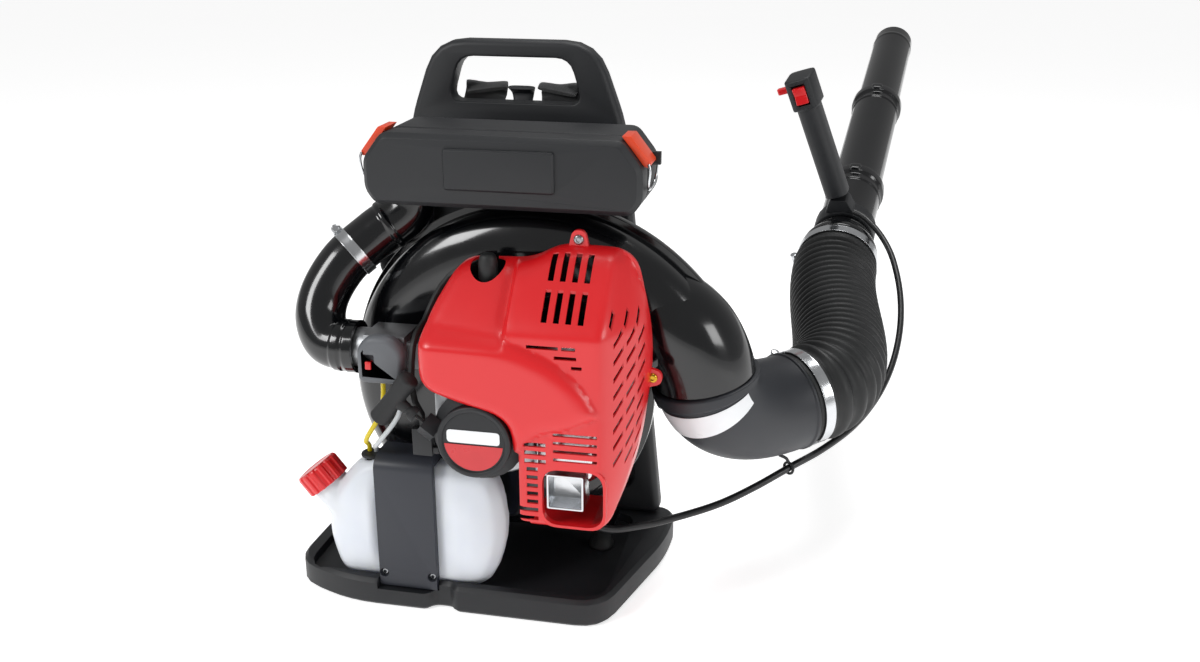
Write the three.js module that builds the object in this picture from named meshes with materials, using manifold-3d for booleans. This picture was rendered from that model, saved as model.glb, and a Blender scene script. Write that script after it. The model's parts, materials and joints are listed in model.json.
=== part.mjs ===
// Backpack leaf blower: a petrol engine drives a fan in a scroll case, and the air leaves by a bendable hose and pipe.
// Millimetres, +Z up, +Y towards the wearer's front. The origin is on the ground, under the middle of the base.
import * as THREE from "three";
import { mergeVertices } from "three/addons/utils/BufferGeometryUtils.js";
import Module from "manifold-3d";

const wasm = await Module();
wasm.setup();

// ---------------------------------------------------------------- driving dimensions
const GAP = 0.3; // between neighbouring pieces
const BASE = { width: 382, front: -112, rear: 112, height: 30, floor: 20, rim: 13, cornerRadius: 30 };
const FRAME = { front: 88, thickness: 24, wall: 6, height: 558, footWidth: 322, gripHeight: 17, centre: 13 };
const HANDLE = { shoulderZ: 474, shoulderWidth: 232, topWidth: 172, holeBottom: 494, holeWidth: 146 };
const CRANK = { x: 32, z: 212, radius: 19, webRadius: 28, webThickness: 9, shaftRadius: 8 };
const FAN = { halfDepth: 48, tongueRadius: 142, outletRadius: 232, growthPower: 2.4, tongueAngle: 12, wall: 3.5, flange: 6 };
const IMPELLER = { radius: 122, hubRadius: 22, bladeDepth: 52, blades: 12 };
const INLET_RADIUS = 78;
const DUCT = { radius: 52, wall: 3.5, x: 232, z: 240, length: 78 };
const HOSE = { radius: 52, inner: 47, cuff: 22, wallGap: 1.5 };
const PIPE = { swivel: 168, mid: 411, tip: 630, wall: 2.2, swivelRadius: 37, midRadius: 34.5, tipRadius: 30.5 };
const PIPE_TURN = { up: 20, out: 6 }; // degrees
const ENGINE = { cylinderY: -81.5, bore: 24.5, rod: 60, crown: 22, headTop: 330, finWidth: 96, finDepth: 56 };
const CASE = { front: -110, rear: -52.3, halfWidth: 50, below: 48, above: 42 };
const STARTER = { face: -146, capRadius: 34, drumRadius: 58, reelRadius: 24, pull: 550 };
const COVER = { front: -150, rear: -66, left: -21, right: 192, bottom: 125, top: 386, wall: 2.5 };
const TANK = { left: -150, right: 48, front: -98, rear: -62, top: 158, wall: 2.5 };
const CLEANER = { width: 272, bottom: 418, height: 70, front: -70, split: -36, rear: 22, x: 41 };
const LATCH = { length: 32, thickness: 7, pin: 2.6 };
const INTAKE = { radius: 25, wall: 3, port: [-70, -7] };
const CABLE_RADIUS = 4;
const STRAP_THICKNESS = 12;
const STRAP = { left: -88, right: -26, thickness: 9 }; // the tank's clamping strap

// ---------------------------------------------------------------- shape helpers
const rad = THREE.MathUtils.degToRad;
const vector = (p) => new THREE.Vector3(...p);

// A closed three.js geometry as a manifold-3d solid with its faces outwards.
function solid(geometry) {
  const bare = new THREE.BufferGeometry().setAttribute("position", geometry.getAttribute("position"));
  if (geometry.index) bare.setIndex(geometry.index);
  const merged = mergeVertices(bare, 1e-4);
  const index = merged.index.array;
  const kept = [];
  for (let i = 0; i < index.length; i += 3) {
    const [a, b, c] = [index[i], index[i + 1], index[i + 2]];
    if (a !== b && b !== c && c !== a) kept.push(a, b, c);
  }
  const build = (triangles) =>
    new wasm.Manifold(new wasm.Mesh({
      numProp: 3,
      vertProperties: merged.attributes.position.array,
      triVerts: new Uint32Array(triangles),
    }));
  const made = build(kept);
  return made.volume() < 0 ? build(kept.reverse()) : made;
}

// A manifold-3d solid as a flat-shaded three.js geometry.
function geometryOf(body) {
  const mesh = body.getMesh();
  const geometry = new THREE.BufferGeometry();
  const places = new Float32Array(mesh.numVert * 3);
  for (let i = 0; i < mesh.numVert; i++) {
    places.set(mesh.vertProperties.subarray(i * mesh.numProp, i * mesh.numProp + 3), i * 3);
  }
  geometry.setAttribute("position", new THREE.BufferAttribute(places, 3));
  geometry.setIndex(new THREE.BufferAttribute(mesh.triVerts, 1));
  const flat = geometry.toNonIndexed();
  flat.computeVertexNormals();
  return flat;
}

// Turns a geometry built along +Y so that it runs along a direction from a point.
function aim(geometry, from, direction) {
  const turn = new THREE.Quaternion().setFromUnitVectors(vector([0, 1, 0]), vector(direction).normalize());
  return geometry.applyQuaternion(turn).translate(...from);
}

const join = (...bodies) => bodies.reduce((all, body) => all.add(body));
const cut = (body, ...tools) => tools.reduce((left, tool) => left.subtract(tool), body);

// A box between two corners.
function box([x0, y0, z0], [x1, y1, z1]) {
  const geometry = new THREE.BoxGeometry(x1 - x0, y1 - y0, z1 - z0);
  return solid(geometry.translate((x0 + x1) / 2, (y0 + y1) / 2, (z0 + z1) / 2));
}

// A round bar from a point along a direction.
function bar(radius, length, from, direction, sides = 16) {
  const geometry = new THREE.CylinderGeometry(radius, radius, length, sides).translate(0, length / 2, 0);
  return solid(aim(geometry, from, direction));
}

// A profile of [radius, distance] pairs turned round a direction.
function turned(profile, from, direction, sides = 24) {
  const points = profile.map(([r, y]) => new THREE.Vector2(r, y));
  return solid(aim(new THREE.LatheGeometry(points, sides), from, direction));
}

// The wall of a round sleeve, from a point along a direction.
const sleeve = (outer, inner, length, from, direction, sides = 24) =>
  turned([[inner, 0], [outer, 0], [outer, length], [inner, length], [inner, 0]], from, direction, sides);

// A closed outline whose corners are rounded: each point is [x, y, corner radius].
function outline(points, radius = 0) {
  const shape = new THREE.Shape();
  points.forEach((point, i) => {
    const here = new THREE.Vector2(point[0], point[1]);
    const back = new THREE.Vector2(...points.at(i - 1).slice(0, 2)).sub(here);
    const on = new THREE.Vector2(...points[(i + 1) % points.length].slice(0, 2)).sub(here);
    const r = Math.min(point[2] ?? radius, back.length() / 2.01, on.length() / 2.01);
    const start = here.clone().addScaledVector(back.normalize(), r);
    const end = here.clone().addScaledVector(on.normalize(), r);
    if (i) shape.lineTo(start.x, start.y);
    else shape.moveTo(start.x, start.y);
    if (r > 0) shape.quadraticCurveTo(here.x, here.y, end.x, end.y);
  });
  shape.closePath();
  return shape;
}

// An outline extruded up from z0 to z1, with chamfered edges.
function slab(shape, z0, z1, chamfer = 0, curveSegments = 4) {
  return solid(new THREE.ExtrudeGeometry(shape, {
    depth: z1 - z0 - 2 * chamfer, curveSegments, bevelEnabled: chamfer > 0, bevelSegments: 1,
    bevelSize: chamfer, bevelThickness: chamfer, bevelOffset: -chamfer,
  }).translate(0, 0, z0 + chamfer));
}

// An outline in X and Z, extruded from y0 back to y1.
function panel(shape, y0, y1, chamfer = 0, curveSegments = 4) {
  return solid(new THREE.ExtrudeGeometry(shape, {
    depth: y1 - y0 - 2 * chamfer, curveSegments, bevelEnabled: chamfer > 0, bevelSegments: 1,
    bevelSize: chamfer, bevelThickness: chamfer, bevelOffset: -chamfer,
  }).rotateX(Math.PI / 2).translate(0, y1 - chamfer, 0));
}

// An outline in Y and Z, extruded from x0 to x1.
function cheek(shape, x0, x1, chamfer = 0, curveSegments = 4) {
  return solid(new THREE.ExtrudeGeometry(shape, {
    depth: x1 - x0 - 2 * chamfer, curveSegments, bevelEnabled: chamfer > 0, bevelSegments: 1,
    bevelSize: chamfer, bevelThickness: chamfer, bevelOffset: -chamfer,
  }).rotateX(Math.PI / 2).rotateZ(Math.PI / 2).translate(x0 + chamfer, 0, 0));
}

const rectangle = (x0, x1, y0, y1, radius = 0) => outline([[x0, y0], [x1, y0], [x1, y1], [x0, y1]], radius);

// A regular outline with its first corner on +X.
function polygon(radius, sides, turn = 0) {
  const corners = Array.from({ length: sides }, (_, i) => {
    const angle = (2 * Math.PI * i) / sides + turn;
    return new THREE.Vector2(radius * Math.cos(angle), radius * Math.sin(angle));
  });
  return corners;
}

// A round tube along a curve; an inner radius of 0 makes it a solid rod.
function tube(curve, radius, inner, steps, sides = 16) {
  const shape = new THREE.Shape(polygon(radius, sides));
  if (inner > 0) shape.holes.push(new THREE.Path(polygon(inner, sides).reverse()));
  return solid(new THREE.ExtrudeGeometry(shape, { extrudePath: curve, steps, bevelEnabled: false }));
}

// A flat strap that follows points [x, y, z] from top to bottom, with its width across X.
function ribbon(points, width, thickness, steps) {
  const curve = new THREE.CatmullRomCurve3(points.map(vector), false, "centripetal");
  const places = curve.getPoints(steps);
  const edge = (side) => places.map((p, i) => {
    const way = curve.getTangent(i / steps);
    const normal = new THREE.Vector2(way.z, -way.y).normalize().multiplyScalar((side * thickness) / 2);
    return new THREE.Vector2(p.y + normal.x, p.z + normal.y);
  });
  const shape = new THREE.Shape([...edge(1), ...edge(-1).reverse()]);
  const geometry = new THREE.ExtrudeGeometry(shape, { depth: width, bevelEnabled: false });
  geometry.rotateX(Math.PI / 2).rotateZ(Math.PI / 2);
  const corners = geometry.getAttribute("position");
  for (let i = 0; i < corners.count; i++) {
    const z = corners.getZ(i);
    const nearest = places.reduce((best, p) => (Math.abs(p.z - z) < Math.abs(best.z - z) ? p : best));
    corners.setX(i, corners.getX(i) - width / 2 + nearest.x);
  }
  return solid(geometry);
}

// The stretch of a curve between two parameters.
class Stretch extends THREE.Curve {
  constructor(curve, from, to) {
    super();
    Object.assign(this, { curve, from, to });
  }
  getPoint(t, target = new THREE.Vector3()) {
    return this.curve.getPoint(this.from + (this.to - this.from) * t, target);
  }
}

const blower = new THREE.Group();

const SLIVER = 0.04; // edges shorter than this are left over from cuts, and are merged

// Adds a solid to a group as a named mesh.
function piece(name, body, [color, roughness, metalness = 0], group = blower) {
  const tidy = body.simplify(SLIVER);
  const mesh = new THREE.Mesh(geometryOf(tidy), new THREE.MeshStandardMaterial({ color, roughness, metalness }));
  mesh.name = name;
  group.add(mesh);
}

const FINISH = {
  black: [0x17181b, 0.55], gloss: [0x0d0e11, 0.2], grey: [0x5d6064, 0.6], red: [0xd9232a, 0.45],
  white: [0xe6e7ea, 0.5], orange: [0xe0532f, 0.45], rubber: [0x141416, 0.85], steel: [0xb9bdc2, 0.3, 1],
  aluminium: [0xa9adb2, 0.45, 1], fabric: [0x1b1c1f, 0.95], yellow: [0xd7c93a, 0.4], paper: [0xd8c89c, 0.9],
};

// ---------------------------------------------------------------- base and back frame
const baseLeft = -BASE.width / 2;
const baseRight = BASE.width / 2;
const frameBack = FRAME.front + FRAME.thickness;

function baseTray() {
  const front = BASE.front;
  const corner = BASE.cornerRadius;
  const body = slab(outline([
    [baseLeft + 14, BASE.rear, 20], [baseLeft + 2, front + 130, 30], [baseLeft, front + 26, corner],
    [baseLeft + 68, front - 2, corner], [-36, front - 2, 8], [-29, front + 8, 5], [-12, front + 8, 5],
    [-6, front, 8], [baseRight - 42, front, corner], [baseRight - 2, front + 150, corner], [baseRight, BASE.rear, 26],
  ].reverse()), 0, BASE.height, 4);
  const inside = [baseLeft + BASE.rim + 4, baseRight - BASE.rim - 30];
  const well = slab(rectangle(...inside, front + BASE.rim, FRAME.front - 4, 26), BASE.floor, BASE.height + 1);
  const hollows = [0, 1, 2, 3].flatMap((column) => [0, 1].map((row) => {
    const x = baseLeft + 32 + column * 79;
    const y = row ? 6 : front + 16;
    return box([x, y, -1], [x + 73, y + 84, BASE.floor - 4]);
  }));
  const strapGap = box([STRAP.left - 1, front - 4, BASE.floor], [STRAP.right + 1, front + BASE.rim + 4, BASE.height + 1]);
  return cut(body, well, strapGap, ...hollows);
}

// The frame's half width at a height, from the foot up to the handle's shoulder.
function frameHalf(z) {
  const t = (z - BASE.height) / (HANDLE.shoulderZ - BASE.height);
  return (FRAME.footWidth + (HANDLE.shoulderWidth - FRAME.footWidth) * t) / 2;
}

function backFrame() {
  const foot = BASE.height + GAP;
  const x = (half, side) => FRAME.centre + side * half;
  const plate = panel(outline([
    [x(FRAME.footWidth / 2, -1), foot, 12], [x(FRAME.footWidth / 2, 1), foot, 12],
    [x(HANDLE.shoulderWidth / 2, 1), HANDLE.shoulderZ, 20], [x(HANDLE.topWidth / 2, 1), FRAME.height, 34],
    [x(HANDLE.topWidth / 2, -1), FRAME.height, 34], [x(HANDLE.shoulderWidth / 2, -1), HANDLE.shoulderZ, 20],
  ]), FRAME.front, frameBack, 4);
  const hole = panel(outline([
    [x(HANDLE.holeWidth / 2, -1), HANDLE.holeBottom], [x(HANDLE.holeWidth / 2, 1), HANDLE.holeBottom],
    [x(HANDLE.holeWidth / 2 - 14, 1), FRAME.height - FRAME.gripHeight],
    [x(HANDLE.holeWidth / 2 - 14, -1), FRAME.height - FRAME.gripHeight],
  ], 15), FRAME.front - 1, frameBack + 1);
  const rim = 26;
  const recess = panel(outline([
    [x(frameHalf(60) - rim, -1), 60], [x(frameHalf(60) - rim, 1), 60],
    [x(frameHalf(400) - rim, 1), 400], [x(frameHalf(400) - rim, -1), 400],
  ], 18), FRAME.front - 1, frameBack - FRAME.wall);
  return cut(plate, hole, recess);
}

piece("base_tray", baseTray(), FINISH.black);
piece("back_frame", backFrame(), FINISH.black);

// ---------------------------------------------------------------- fan case and impeller
const growth = FAN.outletRadius - FAN.tongueRadius;
const DROP = 12; // degrees over which the scroll falls back to the tongue

// How far the scroll's wall stands out from the tongue's radius, by the angle from +X towards +Z.
function scrollGrowth(angle) {
  const turnedBy = THREE.MathUtils.euclideanModulo(FAN.tongueAngle - angle, 360);
  const full = 360 - DROP;
  if (turnedBy > full) return growth * ((360 - turnedBy) / DROP);
  return growth * (turnedBy / full) ** FAN.growthPower;
}

const channelStart = FAN.tongueRadius - 44;

// Turns a [radius, depth] profile round the crank axis and lets its outer part follow the scroll.
function scroll(profile, sides = 40) {
  const points = profile.map(([r, y]) => new THREE.Vector2(r, y));
  const geometry = new THREE.LatheGeometry(points, sides);
  const places = geometry.getAttribute("position");
  for (let i = 0; i < places.count; i++) {
    const [x, z] = [places.getX(i), places.getZ(i)];
    const r = Math.hypot(x, z);
    if (r < channelStart) continue;
    const share = THREE.MathUtils.smoothstep(r, channelStart, FAN.tongueRadius);
    const scale = (r + share * scrollGrowth(THREE.MathUtils.radToDeg(Math.atan2(z, x)))) / r;
    places.setX(i, x * scale);
    places.setZ(i, z * scale);
  }
  return solid(geometry.translate(CRANK.x, 0, CRANK.z));
}

const ductTop = [DUCT.x, 0, DUCT.z];
const ductWay = vector([0.2, 0.1, -0.97]).normalize();
const along = (from, way, distance) => vector(from).addScaledVector(way, distance).toArray();
// The biggest body of a solid, without the slivers that a cut leaves.
const biggest = (body) => body.decompose().reduce((most, other) => (other.volume() > most.volume() ? other : most));

// The duct down to the elbow, with a domed top: a solid grown or shrunk by a margin.
const duct = (margin) => turned([[0, -margin], [30 + margin / 2, 2 - margin], [DUCT.radius - 9 + margin, 14 - margin / 2],
  [DUCT.radius + margin, 36], [DUCT.radius + margin, DUCT.length + (margin < 0 ? 10 : 0)],
  [0, DUCT.length + (margin < 0 ? 10 : 0)]], along(ductTop, ductWay, -DUCT.length), ductWay.toArray(), 20);
const elbowRoom = bar(DUCT.radius + 4.6, 60, ductTop, ductWay.toArray(), 20);

// One half of the fan case: side is -1 for the engine's half and 1 for the inlet's half.
function fanCaseHalf(side) {
  const [d, w, tongue] = [FAN.halfDepth, FAN.wall, FAN.tongueRadius];
  const centre = side < 0 ? CRANK.shaftRadius + 8 : INLET_RADIUS;
  const seam = side * GAP / 2;
  const profile = [
    [centre, d - 6], [channelStart, d - 6], [channelStart + 16, d + 1], [tongue - 9, d - 6], [tongue, d - 30],
    [tongue, 8], [tongue + FAN.flange, 8], [tongue + FAN.flange, seam * side], [tongue - w, seam * side],
    [tongue - w, d - 31], [tongue - w - 8, d - 6 - w], [channelStart + 16, d + 1 - w],
    [channelStart, d - 6 - w], [centre, d - 6 - w], [centre, d - 6],
  ].map(([r, y]) => [r, side * y]);
  const reach = 400;
  const half = side < 0 ? box([-reach, -reach, 0], [reach, -GAP / 2, reach])
    : box([-reach, GAP / 2, 0], [reach, reach, reach]);
  const channel = scroll([[0, seam * side], [tongue - w, seam * side], [tongue - w, d - 31], [tongue - w - 8, d - 6 - w],
    [channelStart + 16, d + 1 - w], [channelStart, d - 6 - w], [0, d - 6 - w]].map(([r, y]) => [r, side * y]));
  let body = cut(scroll(profile).add(cut(duct(0).intersect(half), channel)), duct(-w), elbowRoom);
  body = biggest(body);
  if (side > 0) {
    const feet = [-1, 1].map((end) => {
      const x = CRANK.x + end * FOOT.spread;
      return box([x - 17, 6, FOOT.bottom], [x + 17, 40, FOOT.bottom + 5])
        .add(box([x - 6, 6, FOOT.bottom], [x + 6, 40, CRANK.z - tongue * 0.78]));
    });
    const ears = UPPER_MOUNTS.map(([x, z]) => bar(14, 26, [x, FAN.halfDepth - 22, z], [0, 1, 0], 12));
    const seat = sleeve(INLET_RADIUS + 9, INLET_RADIUS, 6, [CRANK.x, d - 6, CRANK.z], [0, 1, 0], 24);
    body = join(body, ...feet, ...ears, seat, inletGrille());
  }
  return body;
}

// The grille over the air inlet: two rings on eight spokes.
function inletGrille() {
  const y = FAN.halfDepth - 4;
  const rings = [26, 52].map((r) => sleeve(r + 2, r - 2, 4, [CRANK.x, y, CRANK.z], [0, 1, 0], 16));
  const spokes = [0, 1, 2, 3].map((i) => {
    const spoke = new THREE.BoxGeometry(2 * INLET_RADIUS + 6, 4, 3.5).rotateY((i * Math.PI) / 4);
    return solid(spoke.translate(CRANK.x, y + 2, CRANK.z));
  });
  const cap = bar(12, 4, [CRANK.x, y, CRANK.z], [0, 1, 0], 16);
  return join(cap, ...rings, ...spokes);
}

const FOOT = { spread: 88, bottom: 50 };
const UPPER_MOUNTS = [-1, 1].map((side) => [FRAME.centre + side * (frameHalf(330) - 12), 330]);
piece("fan_case_front", fanCaseHalf(-1), FINISH.gloss);
piece("fan_case_rear", fanCaseHalf(1), FINISH.gloss);
["left", "right"].forEach((name, i) => {
  const x = CRANK.x + (i ? 1 : -1) * FOOT.spread;
  const lower = [[0, 0], [14, 0], [14, 4], [11, 9], [11, 20], [14, 25], [14, FOOT.bottom - BASE.floor - 2 * GAP]];
  piece("av_mount_lower_" + name,
    turned([...lower, [0, FOOT.bottom - BASE.floor - 2 * GAP]], [x, 23, BASE.floor + GAP], [0, 0, 1], 16), FINISH.rubber);
  const start = FAN.halfDepth + 4 + GAP;
  const length = FRAME.front - start - GAP;
  const upper = [[0, 0], [12, 0], [9, 7], [9, length - 7], [12, length], [0, length]];
  piece("av_mount_upper_" + name,
    turned(upper, [UPPER_MOUNTS[i][0], start, UPPER_MOUNTS[i][1]], [0, 1, 0], 16), FINISH.rubber);
});

function impeller() {
  const front = -FAN.halfDepth + 6 + FAN.wall + 4;
  const back = front + 3 + IMPELLER.bladeDepth;
  const { radius, hubRadius } = IMPELLER;
  const plate = turned([[CRANK.shaftRadius + 0.05, 0], [radius, 0], [radius, 3], [hubRadius + 26, 4], [hubRadius, 18],
    [hubRadius - 4, 40], [CRANK.shaftRadius + 0.05, 40], [CRANK.shaftRadius + 0.05, 0]],
  [CRANK.x, front, CRANK.z], [0, 1, 0], 28);
  const blades = Array.from({ length: IMPELLER.blades }, (_, i) => {
    const first = hubRadius + 22;
    const edge = (side) => [0, 1, 2].map((step) => {
      const r = first + ((radius - 4 - first) * step) / 2;
      const angle = (2 * Math.PI * i) / IMPELLER.blades + 0.3 * (step / 2) ** 1.5 + (side * 1.5) / r;
      return new THREE.Vector2(CRANK.x + r * Math.cos(angle), CRANK.z + r * Math.sin(angle));
    });
    return panel(new THREE.Shape([...edge(-1), ...edge(1).reverse()]), front + 2, back);
  });
  return join(plate, ...blades);
}
piece("impeller", impeller(), FINISH.grey);

// ---------------------------------------------------------------- outlet elbow and hose
const elbowEnd = [316, 84, 186];
const elbowWay = vector([0.75, 0.65, 0.12]).normalize();
const pipeStart = [351, 455, 246];
const pipeTurn = new THREE.Euler(rad(PIPE_TURN.up), 0, rad(-PIPE_TURN.out), "ZXY");
const pipeWay = vector([0, 1, 0]).applyEuler(pipeTurn);
const elbowCurve = new THREE.CubicBezierCurve3(vector(along(ductTop, ductWay, GAP)),
  vector(along(ductTop, ductWay, 46)), vector(along(elbowEnd, elbowWay, -52)), vector(elbowEnd));
const hoseEnds = [along(elbowEnd, elbowWay, GAP), along(elbowEnd, elbowWay, HOSE.cuff + 3),
  along(pipeStart, pipeWay, -HOSE.cuff - 3), along(pipeStart, pipeWay, -GAP)].map(vector);
const hoseCurve = new THREE.CurvePath();
hoseCurve.add(new THREE.LineCurve3(hoseEnds[0], hoseEnds[1]));
hoseCurve.add(new THREE.CubicBezierCurve3(hoseEnds[1], vector(along(elbowEnd, elbowWay, 105)),
  vector(along(pipeStart, pipeWay, -135)), hoseEnds[2]));
hoseCurve.add(new THREE.LineCurve3(hoseEnds[2], hoseEnds[3]));

function outletElbow() {
  const body = tube(elbowCurve, DUCT.radius, DUCT.radius - DUCT.wall, 6, 14);
  const lip = sleeve(DUCT.radius + 4, DUCT.radius - 2, 8, along(ductTop, ductWay, GAP), ductWay.toArray(), 20);
  const spigot = sleeve(HOSE.inner - HOSE.wallGap, HOSE.inner - HOSE.wallGap - 3, HOSE.cuff + 4,
    along(elbowEnd, elbowWay, -4), elbowWay.toArray(), 20);
  const stop = sleeve(DUCT.radius + 1, HOSE.inner - HOSE.wallGap - 3, 4, along(elbowEnd, elbowWay, -4),
    elbowWay.toArray(), 20);
  return join(body, lip, spigot, stop);
}
piece("outlet_elbow", outletElbow(), FINISH.black);

const HALF_WAY = 0.5;
const seamShare = GAP / 780;
piece("hose_lower",
  tube(new Stretch(hoseCurve, 0, HALF_WAY - seamShare), HOSE.radius, HOSE.inner, 8, 16), FINISH.rubber);
piece("hose_upper",
  tube(new Stretch(hoseCurve, HALF_WAY + seamShare, 1), HOSE.radius, HOSE.inner, 8, 16), FINISH.rubber);

// A worm-drive hose clamp with its screw housing.
function hoseClamp(radius, from, way) {
  const clamp = { inner: radius + 0.8, outer: radius + 2.2, width: 13 };
  const band = sleeve(clamp.outer, clamp.inner, clamp.width, from, way, 24);
  const housing = aim(new THREE.BoxGeometry(18, 12, 9).translate(0, clamp.width / 2, clamp.outer + 3.6), from, way);
  return band.add(solid(housing));
}
piece("hose_clamp_lower", hoseClamp(HOSE.radius, along(elbowEnd, elbowWay, 5), elbowWay.toArray()), FINISH.steel);
piece("hose_clamp_upper", hoseClamp(HOSE.radius, along(pipeStart, pipeWay, -18), pipeWay.toArray()), FINISH.steel);

// ---------------------------------------------------------------- blower pipe, built along +Y in a turned group
const pipe = new THREE.Group();
pipe.position.set(...pipeStart);
pipe.rotation.copy(pipeTurn);
blower.add(pipe);
const UP_PIPE = [0, 1, 0];

function swivelPipe() {
  const { swivelRadius: r, wall: w } = PIPE;
  const inside = HOSE.inner - HOSE.wallGap;
  return turned([
    [inside - 3, -HOSE.cuff], [inside, -HOSE.cuff], [inside, 0], [HOSE.radius - 2, 0.2], [HOSE.radius - 2, 10],
    [r + 3, 34], [r, 36], [r, PIPE.swivel - 16], [r + 4, PIPE.swivel - 14], [r + 4, PIPE.swivel],
    [r - w, PIPE.swivel], [r - w, 36], [inside - 4, 10], [inside - 3, -HOSE.cuff],
  ], [0, 0, 0], UP_PIPE, 24);
}
function plainPipe(start, end, radius, endRadius, socket) {
  const w = PIPE.wall;
  const tail = socket
    ? [[endRadius, end - 16], [endRadius + 4, end - 14], [endRadius + 4, end], [endRadius - w, end]]
    : [[endRadius, end], [endRadius - w, end]];
  return turned([[radius - w, start], [radius, start], ...tail, [radius - w, start]], [0, 0, 0], UP_PIPE, 24);
}
const OVERLAP = 22; // of each pipe inside the one before
piece("swivel_pipe", swivelPipe(), FINISH.gloss, pipe);
piece("mid_pipe", plainPipe(PIPE.swivel - OVERLAP, PIPE.mid, PIPE.swivelRadius - PIPE.wall - GAP,
  PIPE.midRadius - GAP, true), FINISH.gloss, pipe);
piece("end_pipe", plainPipe(PIPE.mid - OVERLAP, PIPE.tip, PIPE.midRadius - PIPE.wall - 2 * GAP,
  PIPE.tipRadius, false), FINISH.gloss, pipe);

// ---------------------------------------------------------------- control handle on the swivel pipe
const handle = new THREE.Group();
const HANDLE_FOOT = [-8, 52, 60];
const GRIP = { width: 30, depth: 34, length: 132, head: 42 };
handle.position.set(...HANDLE_FOOT);
handle.rotation.set(rad(-8), rad(-19), 0, "YXZ");
pipe.add(handle);

function handleBracket() {
  const r = PIPE.swivelRadius + GAP;
  const collar = sleeve(r + 4, r, 30, [0, 40, 0], UP_PIPE);
  const post = panel(outline([[-24, r + 1], [14, r + 1], [4, HANDLE_FOOT[2] - 1], [-18, HANDLE_FOOT[2] - 1]], 3), 41, 66);
  return join(collar, post);
}
piece("handle_bracket", handleBracket(), FINISH.black, pipe);

function controlGrip() {
  const half = [GRIP.width / 2, GRIP.depth / 2];
  const stem = slab(rectangle(-half[0], half[0], -half[1], half[1], 12), 4, GRIP.length + 2, 0, 3);
  const head = slab(rectangle(-half[0] - 3, half[0] + 3, -half[1] - 4, half[1] + 5, 8),
    GRIP.length, GRIP.length + GRIP.head, 2, 2);
  const triggerSlot = box([-7, half[1] - 8, GRIP.length - 4], [7, half[1] + 6, GRIP.length + 22]);
  const switchSlot = box([-9, -half[1] - 5, GRIP.length + 7], [9, -half[1] + 4, GRIP.length + 35]);
  const leverSlot = box([-half[0] - 4, -8.5, GRIP.length + 16], [-half[0] + 5, 8.5, GRIP.length + 34]);
  return cut(join(stem, head), triggerSlot, switchSlot, leverSlot);
}
piece("control_grip", controlGrip(), FINISH.black, handle);

const TRIGGER_PIVOT = GRIP.length + 15;
function throttleTrigger() {
  const y = GRIP.depth / 2;
  return cheek(outline([
    [y - 4, TRIGGER_PIVOT + 4], [y + 9, TRIGGER_PIVOT + 4], [y + 16, TRIGGER_PIVOT - 20], [y + 17, TRIGGER_PIVOT - 46],
    [y + 11, TRIGGER_PIVOT - 48], [y + 9, TRIGGER_PIVOT - 22], [y + 6, TRIGGER_PIVOT - 12], [y - 4, TRIGGER_PIVOT - 8],
  ], 2), -6, 6, 1);
}
piece("throttle_trigger", throttleTrigger(), FINISH.black, handle);

const LEVER_PIVOT = GRIP.length + 25;
function cruiseLever() {
  const x = -GRIP.width / 2;
  const disc = bar(7.5, 8.5, [x - 4.2, 0, LEVER_PIVOT], [1, 0, 0], 16);
  const arm = slab(outline([[x - 19, -4], [x - 3, -4], [x - 3, 4], [x - 19, 4]], 3), LEVER_PIVOT - 2, LEVER_PIVOT + 6, 0.8);
  return disc.add(arm);
}
piece("cruise_lever", cruiseLever(), FINISH.red, handle);

const SWITCH_MIDDLE = GRIP.length + 21;
function stopSwitch() {
  const y = -GRIP.depth / 2 - 4;
  return cheek(outline([[y + 6, SWITCH_MIDDLE - 11], [y - 3, SWITCH_MIDDLE - 11], [y - 0.5, SWITCH_MIDDLE],
    [y - 3, SWITCH_MIDDLE + 11], [y + 6, SWITCH_MIDDLE + 11]].reverse(), 0.8), -8, 8, 0.6, 2);
}
piece("stop_switch", stopSwitch(), FINISH.red, handle);

// ---------------------------------------------------------------- engine
const cylinderAt = (z) => [CRANK.x, ENGINE.cylinderY, z];
const crownTop = CRANK.z + CRANK.radius + ENGINE.rod + ENGINE.crown;
const caseTop = CRANK.z + CASE.above;
const UP = [0, 0, 1];
const BACK = [0, 1, 0];

function crankcase() {
  const { x, z } = CRANK;
  const shell = panel(outline([
    [x - CASE.halfWidth, z - CASE.below + 12], [x - 20, z - CASE.below], [x + 20, z - CASE.below],
    [x + CASE.halfWidth, z - CASE.below + 12], [x + CASE.halfWidth, caseTop], [x - CASE.halfWidth, caseTop],
  ], 12), CASE.front, CASE.rear, 2);
  const chamber = bar(CRANK.webRadius + 9, CASE.rear - CASE.front - 20, [x, CASE.front + 10, z], BACK, 28);
  const bore = bar(ENGINE.bore + 4, CASE.above + 6, cylinderAt(z + 2), UP, 24);
  const shaft = bar(CRANK.shaftRadius + 1, 200, [x, CASE.front - 5, z], BACK, 20);
  const anchor = box([x + CASE.halfWidth - 4, -64, z - 44], [x + CASE.halfWidth + 18, CASE.rear, z - 34]);
  return cut(join(shell, anchor), chamber, bore, shaft);
}
piece("crankcase", crankcase(), FINISH.aluminium);

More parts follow.
